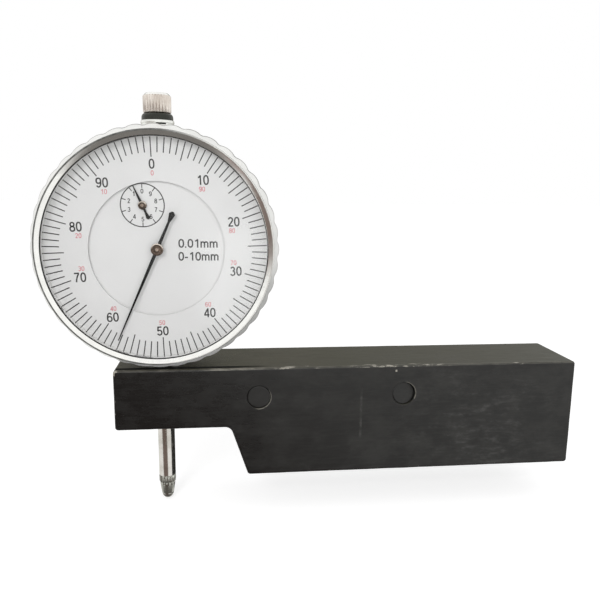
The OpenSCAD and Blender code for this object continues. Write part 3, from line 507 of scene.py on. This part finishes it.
def add_piece(name, mesh, body, stands_for=(), sharp=38):
    """Puts a finished mesh on a CAD body, in place of the nodes that it stands for."""
    mesh.shade_smooth()
    mesh.set_sharp_from_angle(angle=math.radians(sharp))
    obj = bpy.data.objects.new(name, mesh)
    scene.collection.objects.link(obj)
    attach(obj, body)
    if stands_for:
        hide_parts(*stands_for)


def new_mesh(name, verts, faces, materials, numbers=None):
    mesh = bpy.data.meshes.new(name)
    mesh.from_pydata(verts, [], faces)
    for mat in materials:
        mesh.materials.append(mat)
    if numbers:
        mesh.polygons.foreach_set("material_index", numbers)
    bm = bmesh.new()
    bm.from_mesh(mesh)
    bmesh.ops.remove_doubles(bm, verts=bm.verts, dist=1e-7)
    bmesh.ops.recalc_face_normals(bm, faces=bm.faces)
    bm.to_mesh(mesh)
    bm.free()
    return mesh


def lathe(name, profile, place, turns, materials, marks=None, shape=None):
    """Turns a closed line of (radius, height) points about an axis. turns is a count or a list of
    angles, shape(i, r, h, a) can change the radius, and marks gives each stretch its material."""
    angles = [TAU * k / turns for k in range(turns)] if isinstance(turns, int) else turns
    count, steps = len(profile), len(angles)
    verts, faces, numbers = [], [], []
    for a in angles:
        for i, (r, h) in enumerate(profile):
            r = shape(i, r, h, a) if shape else r
            verts.append(place(r * math.cos(a), r * math.sin(a), h))
    for k in range(steps):
        for i in range(count):
            j, m = (i + 1) % count, (k + 1) % steps
            faces.append((k * count + i, k * count + j, m * count + j, m * count + i))
            numbers.append(marks[i] if marks else 0)
    return new_mesh(name, verts, faces, materials, numbers)


def ribbon(points, closed):
    """For each point of a line, the direction across the line, longer at a corner."""
    n = len(points)
    sides = []
    for i in range(n):
        a = points[i - 1] if closed or i else points[0]
        b = points[(i + 1) % n] if closed or i < n - 1 else points[-1]
        p = points[i]
        ways = [Vector((q[0] - o[0], q[1] - o[1])) for o, q in ((a, p), (p, b))]
        ways = [w.normalized() for w in ways if w.length > 1e-9]
        along = sum(ways, Vector((0, 0))).normalized()
        sides.append(Vector((-along.y, along.x)) / max(0.5, along.dot(ways[0])))
    return sides


def printed(name, strokes, place, face, material):
    """Thin raised print. A stroke is (points, width, closed), in millimetres."""
    verts, faces = [], []
    for points, width, closed in strokes:
        start, n = len(verts), len(points)
        for (x, y), across in zip(points, ribbon(points, closed)):
            dx, dy = across * width / 2
            for side, d in ((1, PRINT_LOW), (1, PRINT_HIGH), (-1, PRINT_HIGH), (-1, PRINT_LOW)):
                verts.append(place(x + side * dx, y + side * dy, face + d))
        for i in range(n if closed else n - 1):
            a, b = start + 4 * i, start + 4 * ((i + 1) % n)
            faces += [(a + k, a + (k + 1) % 4, b + (k + 1) % 4, b + k) for k in range(4)]
        if not closed:
            last = start + 4 * (n - 1)
            faces += [(start + 3, start + 2, start + 1, start), (last, last + 1, last + 2, last + 3)]
    mesh = bpy.data.meshes.new(name)
    mesh.from_pydata(verts, [], faces)
    mesh.materials.append(material)
    return mesh


def turned(points, angle):
    """Points turned clockwise by an angle in degrees."""
    c, s = math.cos(math.radians(angle)), math.sin(math.radians(angle))
    return [(x * c + y * s, y * c - x * s) for x, y in points]


def arc(x, y, rx, ry, start, end, count=12):
    steps = [math.radians(start + (end - start) * k / count) for k in range(count + 1)]
    return [(x + rx * math.cos(t), y + ry * math.sin(t)) for t in steps]


def loop(x, y, rx, ry, count=28):
    """A closed oval, a little squarer than an ellipse."""
    squareness = 0.86
    points = []
    for k in range(count):
        c, s = math.cos(TAU * k / count), math.sin(TAU * k / count)
        dx, dy = (math.copysign(abs(v) ** squareness, v) for v in (c, s))
        points.append((x + rx * dx, y + ry * dy))
    return points


# Plain figures, one unit high: width to the next one, open lines and closed lines
DIGIT = 0.66
six = arc(0.30, 0.52, 0.235, 0.42, 40, 180) + [(0.065, 0.33)]
glyphs = {
    "0": (DIGIT, [], [loop(0.283, 0.5, 0.222, 0.44)]),
    "1": (DIGIT, [[(0.36, 0), (0.36, 1)], [(0.35, 0.95), (0.25, 0.83), (0.11, 0.76)]], []),
    "2": (DIGIT, [
        arc(0.28, 0.715, 0.21, 0.225, 168, -28) + [(0.09, 0.1)], [(0.04, 0.06), (0.53, 0.06)],
    ], []),
    "3": (DIGIT, [arc(0.27, 0.735, 0.19, 0.205, 158, -90), arc(0.265, 0.295, 0.225, 0.235, 90, -158)], []),
    "4": (DIGIT, [[(0.42, 0), (0.42, 1)], [(0.41, 0.94), (0.04, 0.29)], [(0, 0.27), (0.56, 0.27)]], []),
    "5": (DIGIT, [
        [(0.5, 0.94), (0.13, 0.94), (0.085, 0.49)], arc(0.27, 0.325, 0.235, 0.265, 142, -158),
    ], []),
    "6": (DIGIT, [six], [loop(0.285, 0.315, 0.22, 0.255)]),
    "7": (DIGIT, [[(0.03, 0.94), (0.53, 0.94)], [(0.51, 0.93), (0.35, 0.62), (0.25, 0.3), (0.21, 0)]], []),
    "8": (DIGIT, [], [loop(0.283, 0.745, 0.185, 0.195), loop(0.283, 0.29, 0.225, 0.23)]),
    "9": (DIGIT, [[(0.565 - x, 1 - y) for x, y in six]], [loop(0.28, 0.685, 0.22, 0.255)]),
    ".": (0.27, [[(0, 0.06), (0.13, 0.06)]], []),
    "-": (0.44, [[(0, 0.37), (0.32, 0.37)]], []),
    "m": (0.94, [
        [(0.06, 0), (0.06, 0.73)], arc(0.23, 0.48, 0.17, 0.19, 180, 0, 10) + [(0.40, 0)],
        arc(0.57, 0.48, 0.17, 0.19, 180, 0, 10) + [(0.74, 0)],
    ], []),
}


def figures(text, x, y, height, width=None, turn=0.0, weight=0.15):
    """Strokes for a line of figures about a middle point. A width squeezes the line to it, and the
    weight is the stroke's share of the height."""
    last_gap = 0.14 if text[-1] == "m" else 0.1
    natural = sum(glyphs[c][0] for c in text) - last_gap
    squeeze = width / (natural * height) if width else 1.0
    strokes, at = [], -natural / 2
    for c in text:
        step, opened, closed = glyphs[c]
        for lines, shut in ((opened, False), (closed, True)):
            for line in lines:
                points = [(x + (at + px) * height * squeeze, y + (py - 0.5) * height) for px, py in line]
                strokes.append((turned(points, turn), weight * height, shut))
        at += step
    return strokes


# Block: rounded, a little uneven edges, with bores for the stem, the clamp screw and the plugs
block_low, block_high = span("gauge_block")
SLANT_RUN, STEM_REACH = 4.4, 0.6
CORNER_R, STEP_R = 0.8, 2.0
EDGE_R, EDGE_WEAVE, EDGE_NICKS = 0.46, 0.10, 0.05
SIDE_DEPTH, FACE_INSET = 0.8, 0.72
OUTLINE_STEP, BEND_STEPS = 1.1, 6
base_end = -block_high.x
step_top = base_end - SLANT_RUN
arm_under = span("stem")[0].z - STEM_REACH


def outline_points(corners, radii, step):
    """Points round a rounded outline, each with the direction into the solid."""
    stretches = []
    count = len(corners)
    for i, (corner, radius) in enumerate(zip(corners, radii)):
        back = (corners[i - 1] - corner).normalized()
        ahead = (corners[(i + 1) % count] - corner).normalized()
        half = math.acos(back.dot(ahead)) / 2
        centre = corner + (back + ahead).normalized() * radius / math.sin(half)
        start = corner + back * radius / math.tan(half)
        end = corner + ahead * radius / math.tan(half)
        a = math.atan2(start.y - centre.y, start.x - centre.x)
        sweep = (math.atan2(end.y - centre.y, end.x - centre.x) - a + math.pi) % TAU - math.pi
        bend = []
        for k in range(BEND_STEPS + 1):
            t = a + sweep * k / BEND_STEPS
            away = Vector((math.cos(t), math.sin(t)))
            bend.append((centre + away * radius, -away if sweep > 0 else away))
        stretches.append(bend)
    points = []
    for i, bend in enumerate(stretches):
        points += bend
        (a, inward), (b, _) = bend[-1], stretches[(i + 1) % count][0]
        parts = max(1, round((b - a).length / step))
        points += [(a.lerp(b, k / parts), inward) for k in range(1, parts)]
    return points


def block_mesh():
    """Rings of points round the block, from the middle of one face to that of the other."""
    corners = [
        (block_high.x, 0), (block_high.x, block_high.z), (block_low.x, block_high.z),
        (block_low.x, arm_under), (step_top, arm_under), (base_end, 0),
    ]
    radii = (CORNER_R, CORNER_R, CORNER_R, CORNER_R, STEP_R, CORNER_R)
    rim = outline_points([Vector(c) for c in corners], radii, OUTLINE_STEP)
    rings, marks = [], []
    for side in (-1, 1):
        half = []
        for turn in ("side", 0, 22.5, 45, 67.5, 90, "face"):
            ring = []
            for p, inward in rim:
                weave = noise.noise(Vector((p.x * 0.21, p.y * 0.21, 7.0 * side)))
                nicks = noise.noise(Vector((p.x * 0.9, p.y * 0.9, 3.0 * side)))
                round_r = EDGE_R + EDGE_WEAVE * weave + EDGE_NICKS * nicks
                if turn == "side":
                    inset, depth = 0.0, SIDE_DEPTH
                elif turn == "face":
                    inset, depth = FACE_INSET, 0.0
                else:
                    t = math.radians(turn)
                    inset, depth = round_r * (1 - math.cos(t)), round_r * (1 - math.sin(t))
                q = p + inward * inset
                ring.append(Vector((q.x, side * (block_high.y - depth), q.y)) * MM)
            half.append(ring)
        rings += half[::-1] if side < 0 else half
        marks += [0, 1, 1, 1, 1, 0, 0] if side < 0 else [0, 1, 1, 1, 1, 0]
    n = len(rim)
    verts = [v for ring in rings for v in ring]
    faces, numbers = [list(range(n))], [0]
    for i in range(len(rings) - 1):
        for k in range(n):
            m = (k + 1) % n
            faces.append((i * n + k, i * n + m, (i + 1) * n + m, (i + 1) * n + k))
            numbers.append(marks[i])
    last = (len(rings) - 1) * n
    faces.append([last + k for k in range(n)])
    numbers.append(0)
    return new_mesh("block_body", verts, faces, [finishes["block_black"], block_edge], numbers)


def drilled(mesh, cutters):
    """The mesh with each cutter taken out of it."""
    body = bpy.data.objects.new("drilled", mesh)
    scene.collection.objects.link(body)
    made = [body]
    for cutter in cutters:
        tool = bpy.data.objects.new("drill", cutter)
        scene.collection.objects.link(tool)
        cut = body.modifiers.new("bore", "BOOLEAN")
        cut.operation = "DIFFERENCE"
        cut.solver = "EXACT"
        cut.object = tool
        made.append(tool)
    bpy.context.view_layer.update()
    cut_body = body.evaluated_get(bpy.context.evaluated_depsgraph_get())
    result = bpy.data.meshes.new_from_object(cut_body)
    for obj in made:
        data = obj.data
        bpy.data.objects.remove(obj)
        bpy.data.meshes.remove(data)
    result.name = "block_body"
    return result


def bore(radius, low, high, place, ends, chamfer=0.12):
    """A cutter with a chamfer at each open end, where it reaches past the face."""
    wide, past = radius + chamfer, 1
    if ends[0]:
        profile = [(0, low - past), (wide, low - past), (wide, low), (radius, low + chamfer)]
    else:
        profile = [(0, low), (radius, low)]
    if ends[1]:
        profile += [(radius, high - chamfer), (wide, high), (wide, high + past), (0, high + past)]
    else:
        profile += [(radius, high), (0, high)]
    following = profile[1:] + profile[:1]
    marks = [1 if a[0] != b[0] and a[1] != b[1] else 0 for a, b in zip(profile, following)]
    return lathe("bore", profile, place, ROUND, [finishes["block_black"], block_edge], marks)


def cross(node):
    """A place function for a bar along Y, with its depth counted towards the front."""
    axis = middle(node)
    return lambda x, y, d: Vector((axis.x + x, -d, axis.z + y)) * MM


stem_bore_r = half_width("stem") + FIT_GAP
clamp_bore_r = half_width("clamp_screw") + FIT_GAP
plug_bore_r = plug_r + FIT_GAP
cutters = [bore(plug_bore_r, -span(p)[1].y, -block_low.y, cross(p), (False, True)) for p in plugs]
cutters.append(bore(stem_bore_r, arm_under, block_high.z, at_stem, (True, True), 0.25))
cutters.append(bore(clamp_bore_r, -block_high.y, 0.0, cross("clamp_screw"), (True, False), 0.25))
add_piece("block_body", drilled(block_mesh(), cutters), "holder", ["gauge_block"])


def leaning(plug, lean, drop):
    """A place function for a plug that stands askew in its bore, deepest at the upper right."""
    across, back = cross(plug), -span(plug)[1].y

    def place(x, y, d):
        share = 1.0 if d > back + 1 else 0.0
        return across(x, y, d - share * (drop + lean * (x * 0.8 + y * 0.6) / plug_r))

    return place


for plug, lean, drop in zip(plugs, (0.03, 0.5), (0.0, 0.08)):
    back = -span(plug)[1].y
    front = -span(plug)[0].y - lean
    profile = [
        (0, back), (plug_r - 0.3, back), (plug_r, back + 0.3), (plug_r, front - 0.22),
        (plug_r - 0.06, front - 0.08), (plug_r - 0.2, front), (plug_r - 0.4, front), (0, front),
    ]
    marks = (0, 0, 0, 1, 1, 0, 0, 0)
    pair = [finishes["plug_black"], block_edge]
    mesh = lathe(plug + "_worn", profile, leaning(plug, lean, drop), ROUND, pair, marks)
    add_piece(plug + "_worn", mesh, "holder", [plug])


# Bezel: scalloped edge, rounded ring that slopes in to the crystal
SOFT_CORNER, SOFT_DEPTH = 0.24, 0.06
SCALLOP_STEPS = 14


def edge_radius(a):
    off = (a + math.pi / scallops) % (TAU / scallops) - math.pi / scallops
    side = centre_r * math.sin(off)
    return max(valley_r, centre_r * math.cos(off) + math.sqrt(scallop_r ** 2 - side ** 2))


def bezel_shape(i, r, d, a):
    """Behind the shoulder the edge is scalloped, and the slant cuts it with a soft corner."""
    if bezel_line[i][0] == "plain":
        return r
    edge = edge_radius(a) + r
    if bezel_line[i][0] == "edge":
        return edge
    slant = bezel_r + (ring_r + 0.06 - bezel_r) * (d - slant_back) / (shoulder - slant_back)
    soft = max(0.0, SOFT_CORNER - abs(edge - slant)) / SOFT_CORNER
    return min(edge, slant) - soft * soft * SOFT_DEPTH


bezel_line = [
    ("plain", bore_r, bezel_back + 0.1, 0), ("plain", bore_r + 0.1, bezel_back, 0),
    ("edge", -0.35, bezel_back, 0), ("edge", -0.1, bezel_back + 0.1, 0),
    ("edge", 0, bezel_back + 0.35, 0),
]
bezel_line += [("slant", 0, slant_back - 0.3 + 0.1 * k, 0) for k in range(14)]
bezel_line += [("slant", 0, shoulder - 0.7, 0), ("slant", 0, shoulder, 2)]
bezel_line += [("plain", ring_r + off, at, number) for off, at, number in (
    (0.05, shoulder - 0.1, 2), (0.0, shoulder - 0.1, 2), (0.0, shoulder, 3), (0.0, bezel_top - 0.3, 3),
    (-0.03, bezel_top - 0.15, 3), (-0.09, bezel_top - 0.055, 3), (-0.17, bezel_top - 0.015, 3),
    (-0.25, bezel_top - 0.012, 3), (-0.33, bezel_top - 0.037, 3), (-0.42, bezel_top - 0.078, 1),
)]
bezel_line += [("plain", *row) for row in (
    (window_r + 0.12, bezel_top - 0.495, 1), (window_r + 0.04, bezel_top - 0.54, 2),
    (window_r, bezel_top - 0.6, 2), (window_r, crystal_front, 2), (bore_r, crystal_front, 0),
    (bore_r, -wire_low.y + 0.1, 0), (bore_r + 0.4, -wire_low.y + 0.1, 0),
    (bore_r + 0.4, -wire_high.y - 0.1, 0), (bore_r, -wire_high.y - 0.1, 0),
)]
crossing = math.radians(3.95)
bezel_angles = []
for k in range(scallops):
    for i in range(SCALLOP_STEPS):
        bezel_angles.append(TAU * k / scallops + crossing * (2 * i / (SCALLOP_STEPS - 1) - 1))
    bezel_angles.append(TAU * (k + 0.5) / scallops)
bezel_mesh = lathe(
    "bezel_knurl", [row[1:3] for row in bezel_line], at_dial, bezel_angles,
    [finishes["bezel_plate"], bezel_bright, gap_and_shade_dark, bezel_rim],
    [row[3] for row in bezel_line], bezel_shape,
)
add_piece("bezel_knurl", bezel_mesh, "bezel_set", ["bezel"], 48)


# Turned pieces on the plunger's line
CAP_RIDGES, CAP_CUT = 28, 0.25
POINT_RIDGES, POINT_CUT = 16, 0.36
RIDGE_STEPS = 10
low, high = span("stop_cap")
cap_low, cap_high = low.z, high.z
cap_r = max(high.x - low.x, high.y - low.y) / 2


def ridged(count, depth, low, high):
    """A shape function that cuts ridges between two heights."""

    def shape(i, r, h, a):
        if not (low < h < high):
            return r
        wave = abs((a * count / TAU) % 1.0 - 0.5) * 2
        rise = min(1.0, max(0.0, (wave - 0.3) / 0.4))
        return r - depth * rise * rise * (3 - 2 * rise) * min(1.0, r / cap_r)

    return shape


socket_r, socket_top = 1.27, cap_low + 3.02
cap_line = [
    (0, socket_top), (socket_r, socket_top), (socket_r, cap_low), (cap_r - 0.5, cap_low),
    (cap_r - 0.2, cap_low + 0.08), (cap_r, cap_low + 0.3), (cap_r, cap_high - 0.72),
    (cap_r - 0.06, cap_high - 0.62), (cap_r - 0.2, cap_high - 0.54), (cap_r - 0.24, cap_high - 0.46),
    (cap_r - 0.62, cap_high - 0.05), (cap_r - 0.76, cap_high), (0, cap_high),
]
cap_marks = [0] * 8 + [1, 1, 1, 0, 0]
cap_shape = ridged(CAP_RIDGES, CAP_CUT, cap_low + 0.05, cap_high - 0.58)
mesh = lathe(
    "cap_ridged", cap_line, at_stem, CAP_RIDGES * RIDGE_STEPS,
    [finishes["cap_steel"], bezel_bright], cap_marks, cap_shape,
)
add_piece("cap_ridged", mesh, "plunger", ["stop_cap"], 50)

low, high = (v.z for v in span("cushion_ring"))
r, hole = half_width("cushion_ring"), rod_r + 0.3
line = [
    (hole, low), (r, low), (r, low + 0.72), (r - 0.07, low + 1.06), (r - 0.22, low + 1.34),
    (r - 0.44, low + 1.53), (r - 0.75, high), (hole, high),
]
mesh = lathe("cushion_worn", line, at_stem, FINE_ROUND, [finishes["cushion_black"]])
add_piece("cushion_worn", mesh, "holder", ["cushion_ring"])

# Collar, with a groove that is painted dark for a short way at the front, as shade
low, high = (v.z for v in span("top_bush"))
r, hole = half_width("top_bush"), rod_r + 0.04
seat, neck_r, groove_r = high - 3.6, 3.0, r - 0.3
line = [
    (hole, low), (neck_r, low), (neck_r, seat), (r - 0.1, seat), (r, seat + 0.1), (r, high - 1.55),
    (r - 0.06, high - 1.49), (groove_r, high - 1.45), (groove_r, high - 1.12), (groove_r, high - 0.78),
    (r - 0.08, high - 0.72), (r - 0.05, high - 0.65), (r - 0.1, high - 0.25), (r - 0.17, high - 0.08),
    (r - 0.32, high), (hole, high),
]
mesh = lathe("collar_turned", line, at_stem, FINE_ROUND, [finishes["collar_steel"], gap_and_shade_dark])
# Near-black faces in the groove's front right: painted shade
for face in mesh.polygons:
    x, y, z = face.center / MM
    if high - 1.12 < z < high - 0.75 and 0.1 < x - stem_x < 2.3 and y < 0:
        face.material_index = 1
add_piece("collar_turned", mesh, "holder", ["top_bush"])

# Contact point: seat of the ball, cone, knurled grip, thread
point_high = span("contact_point")[1].z
grip_top = point_high - 3.0
grip_end = grip_top - 2.1
ball_z = middle("contact_ball").z
ball_r = half_width("contact_ball")
seat_r, thread_r = ball_r + FIT_GAP, 1.25
slant_r = (ball_r - rod_r) / (grip_end - ball_z)
line = []
for degrees in (0, 30, 50, 67, 84):
    a = math.radians(degrees)
    line.append((seat_r * math.sin(a), ball_z + seat_r * math.cos(a)))
line += [
    (ball_r + 0.05, ball_z + 0.17), (rod_r + 0.8 * slant_r - 0.06, grip_end - 0.8),
    (rod_r - 0.2, grip_end - 0.08), (rod_r - 0.08, grip_end + 0.05), (rod_r, grip_end + 0.2),
    (rod_r, grip_top - 0.3), (rod_r - 0.08, grip_top - 0.16), (rod_r - 0.22, grip_top - 0.1),
    (rod_r - 0.22, grip_top), (thread_r, grip_top), (thread_r, point_high), (0, point_high),
]
grip_shape = ridged(POINT_RIDGES, POINT_CUT, grip_end, grip_top - 0.13)
steps = POINT_RIDGES * RIDGE_STEPS
mesh = lathe("point_knurled", line, at_stem, steps, [point_steel], None, grip_shape)
add_piece("point_knurled", mesh, "plunger", ["contact_point"], 50)


# Hubs, with a raised rim and a dished middle
hole, neck_r, neck_high = 0.42, 0.98, 0.45
for node, place, body in (("hand_hub", at_dial, "centre"), ("counter_hub", at_counter, "counter")):
    low, high = span(node)
    r, back, front = half_width(node), -high.y, -low.y
    line = [(hole, front - 0.04), (hole, back)]
    if node == "hand_hub":
        line += [(neck_r, back), (neck_r, back + neck_high)]
        back += neck_high
    line += [
        (r, back), (r, front - 0.26), (r - 0.08, front - 0.12), (r - 0.26, front - 0.01),
        (r - 0.34, front), (r - 0.42, front - 0.07), (r * 0.52, front - 0.1), (hole + 0.08, front - 0.06),
    ]
    marks = [0] * (len(line) - 7) + [1, 1, 0, 0, 0, 0, 0]
    mesh = lathe(node + "_dished", line, place, ROUND, [finishes["hub_brass"], hub_rim], marks)
    add_piece(node + "_dished", mesh, body, [node], 30)


# Print on the dial
ZERO = -2.1
TICK_OUT, TICK_IN, LONG_TICK_IN, TICK_WIDTH = 26.27, 22.74, 21.7, 0.25
NUMBER_R, NUMBER_OVAL, NUMBER_HEIGHT = 19.75, 0.35, 2.26
RED_HEIGHT, RED_AWAY, RED_IN = 1.14, 2.1, 0.5
UPPER_TENS = (8, 9, 0, 1, 2)
COUNTER_R, COUNTER_TICK_IN, COUNTER_TICK_WIDTH = 5.1, 4.05, 0.21
COUNTER_NUMBER_R, COUNTER_HEIGHT = 3.3, 1.08
MARK_HEIGHT, MARK_WEIGHT = 2.05, 0.165


def tick(angle, r_in, r_out, width):
    return turned([(0, r_in), (0, r_out)], angle), width, False


def add_print(name, strokes, place, face, body, ink=ink_black):
    add_piece(name, printed(name, strokes, place, face, ink), body)


ticks = []
for k in range(100):
    start = LONG_TICK_IN if k % 5 == 0 else TICK_IN
    ticks.append(tick(3.6 * k + ZERO, start, TICK_OUT, TICK_WIDTH))
add_print("scale_ticks", ticks, at_dial, ring_face, "bezel_set")

black, red = [], []
for k in range(10):
    a = TAU * k / 10
    r = NUMBER_R + NUMBER_OVAL * math.cos(2 * a)
    x, y = r * math.sin(a), r * math.cos(a)
    black += figures(str(10 * k), x, y, NUMBER_HEIGHT, turn=ZERO)
    x -= RED_IN * math.sin(a)
    y += -RED_AWAY if k in UPPER_TENS else RED_AWAY
    red += figures(str((100 - 10 * k) % 100), x, y, RED_HEIGHT, turn=ZERO, weight=0.14)
add_print("scale_numbers", black, at_dial, ring_face, "bezel_set")
add_print("scale_numbers_red", red, at_dial, ring_face, "bezel_set", ink_red)

small = [tick(36 * k, COUNTER_TICK_IN, COUNTER_R, COUNTER_TICK_WIDTH) for k in range(10)]
small.append((arc(0, 0, COUNTER_R, COUNTER_R, 0, 360, 96)[:-1], TICK_WIDTH, True))
add_print("counter_scale", small, at_counter, disc_face, "holder")

small = []
for k in range(10):
    a = -TAU * k / 10
    x, y = COUNTER_NUMBER_R * math.sin(a), COUNTER_NUMBER_R * math.cos(a)
    small += figures(str(k), x, y, COUNTER_HEIGHT, weight=0.17)
add_print("counter_numbers", small, at_counter, disc_face, "holder")

sizes = figures("0.01mm", 9.66, 1.4, MARK_HEIGHT, 9.35, weight=MARK_WEIGHT)
sizes += figures("0-10mm", 9.72, -1.75, MARK_HEIGHT, 9.6, weight=MARK_WEIGHT)
add_print("range_marks", sizes, at_dial, disc_face, "holder")


# Floor, light and camera


def floor_finish():
    """Pale paper. It shows at the backdrop's white where nothing shades it."""
    g = Graph("floor_paper")
    grain = g.noise((900, 900, 900))
    color = g.blend(grain, (0.84, 0.84, 0.84), (0.86, 0.86, 0.86))
    seen = g.math("MULTIPLY", g.add("LightPath").outputs["Is Camera Ray"], 0.57)
    white = (1, 1, 1)
    return g.finish(color, 0.9, Specular_IOR_Level=0.0, Emission_Color=white, Emission_Strength=seen)


FLOOR_HALF = 3000
floor_z = span("contact_ball")[0].z - 0.05
quarters = ((-1, -1), (1, -1), (1, 1), (-1, 1))
ground = [Vector((x * FLOOR_HALF, y * FLOOR_HALF, floor_z)) * MM for x, y in quarters]
floor = bpy.data.objects.new("floor", new_mesh("floor", ground, [(0, 1, 2, 3)], [floor_finish()]))
scene.collection.objects.link(floor)
floor.visible_glossy = False


def sky():
    """White to the camera, an even fill, and a room with dark parts for reflections."""
    g = Graph("studio", "World")
    scene.world = g.owner
    split = g.add("SeparateXYZ")
    g.put(g.add("TexCoord").outputs["Generated"], split.inputs[0])
    x, y, z = split.outputs["X"], split.outputs["Y"], split.outputs["Z"]
    front = g.math("MULTIPLY", y, -1.0)
    azimuth = g.math("MULTIPLY", g.math("ARCTAN2", x, front), 360 / TAU)
    rise = g.math("MULTIPLY", g.math("ARCSINE", z), 360 / TAU)
    lean = g.math("ADD", azimuth, g.math("MULTIPLY", g.math("ADD", rise, 26.0), 1.4))
    curtain = g.both(g.near(lean, -15.0, 30.0, 5.0), g.fit(rise, 0, 10, 1.0, 0.0))
    door = g.both(g.near(azimuth, -45.0, 3.5, 3.0), g.fit(rise, -9, 7))
    wall = g.both(g.near(azimuth, 24.0, 4.0, 12.0), g.near(rise, -30.0, 2.0, 9.0))
    beside = g.either(door, g.math("MULTIPLY", wall, 0.6))
    desk = g.both(g.fit(rise, -29, -40), g.fit(front, -0.2, 0.1))
    paper = g.both(g.near(azimuth, -38.0, 3.0, 3.0), g.near(rise, -31.5, 2.5, 2.5))
    right = g.both(g.near(azimuth, 130.0, 55.0, 8.0), g.near(rise, -24, 5, 3))
    rear = g.both(g.fit(front, -0.74, -0.88), g.near(rise, 10, 24, 14))
    window = g.both(g.near(azimuth, 4.0, 4.5, 3.5), g.near(rise, -8.5, 3.0, 3.5))
    room = g.blend(rear, (1.0, 1.0, 0.98), (0.34, 0.33, 0.28))
    room = g.blend(window, room, (3.0, 3.05, 3.0))
    room = g.blend(curtain, room, (0.2, 0.155, 0.135))
    room = g.blend(desk, room, (0.18, 0.17, 0.158))
    room = g.blend(beside, room, (1.0, 1.0, 0.98))
    room = g.blend(paper, room, (0.37, 0.295, 0.275))
    room = g.blend(right, room, (0.03, 0.03, 0.028))
    path = g.add("LightPath")
    tone = g.blend(path.outputs["Is Glossy Ray"], (0.55, 0.55, 0.55), room)
    tone = g.blend(path.outputs["Is Camera Ray"], tone, (1, 1, 1))
    back = g.add("Background")
    g.put(tone, back.inputs["Color"])
    g.put(back.outputs[0], g.out.inputs["Surface"])


sky()


def lamp(name, place, aim, power, size):
    data = bpy.data.lights.new(name, "AREA")
    data.energy = power
    data.size = size
    obj = bpy.data.objects.new(name, data)
    obj.location = place
    obj.rotation_euler = (Vector(aim) - Vector(place)).to_track_quat("-Z", "Y").to_euler()
    obj.visible_glossy = False
    scene.collection.objects.link(obj)


LAMP_AIM = (-0.03, 0, 0.04)
lamp("key", (-0.27, -0.6, 0.36), LAMP_AIM, 1.5, 0.26)
lamp("fill", (0.26, -0.58, 0.3), LAMP_AIM, 0.8, 0.5)

# Camera: place in millimetres, turns in radians
camera_place = Vector((-47.80, -159.98, 73.24))
yaw, pitch, roll = 0.1146, 0.1801, 0.0117
SENSOR_WIDTH, LENS = 36, 37.176
ahead = Vector((math.sin(yaw) * math.cos(pitch), math.cos(yaw) * math.cos(pitch), -math.sin(pitch)))
right = Vector((math.cos(yaw), -math.sin(yaw), 0))
up = right.cross(ahead)
side = right * math.cos(roll) + up * math.sin(roll)
over = up * math.cos(roll) - right * math.sin(roll)
camera_data = bpy.data.cameras.new("camera")
camera_data.sensor_width = SENSOR_WIDTH
camera_data.lens = LENS
camera_data.clip_start = 0.01
camera = bpy.data.objects.new("camera", camera_data)
turn = Matrix((side, over, -ahead)).transposed().to_4x4()
camera.matrix_world = Matrix.Translation(camera_place * MM) @ turn
scene.collection.objects.link(camera)
scene.camera = camera
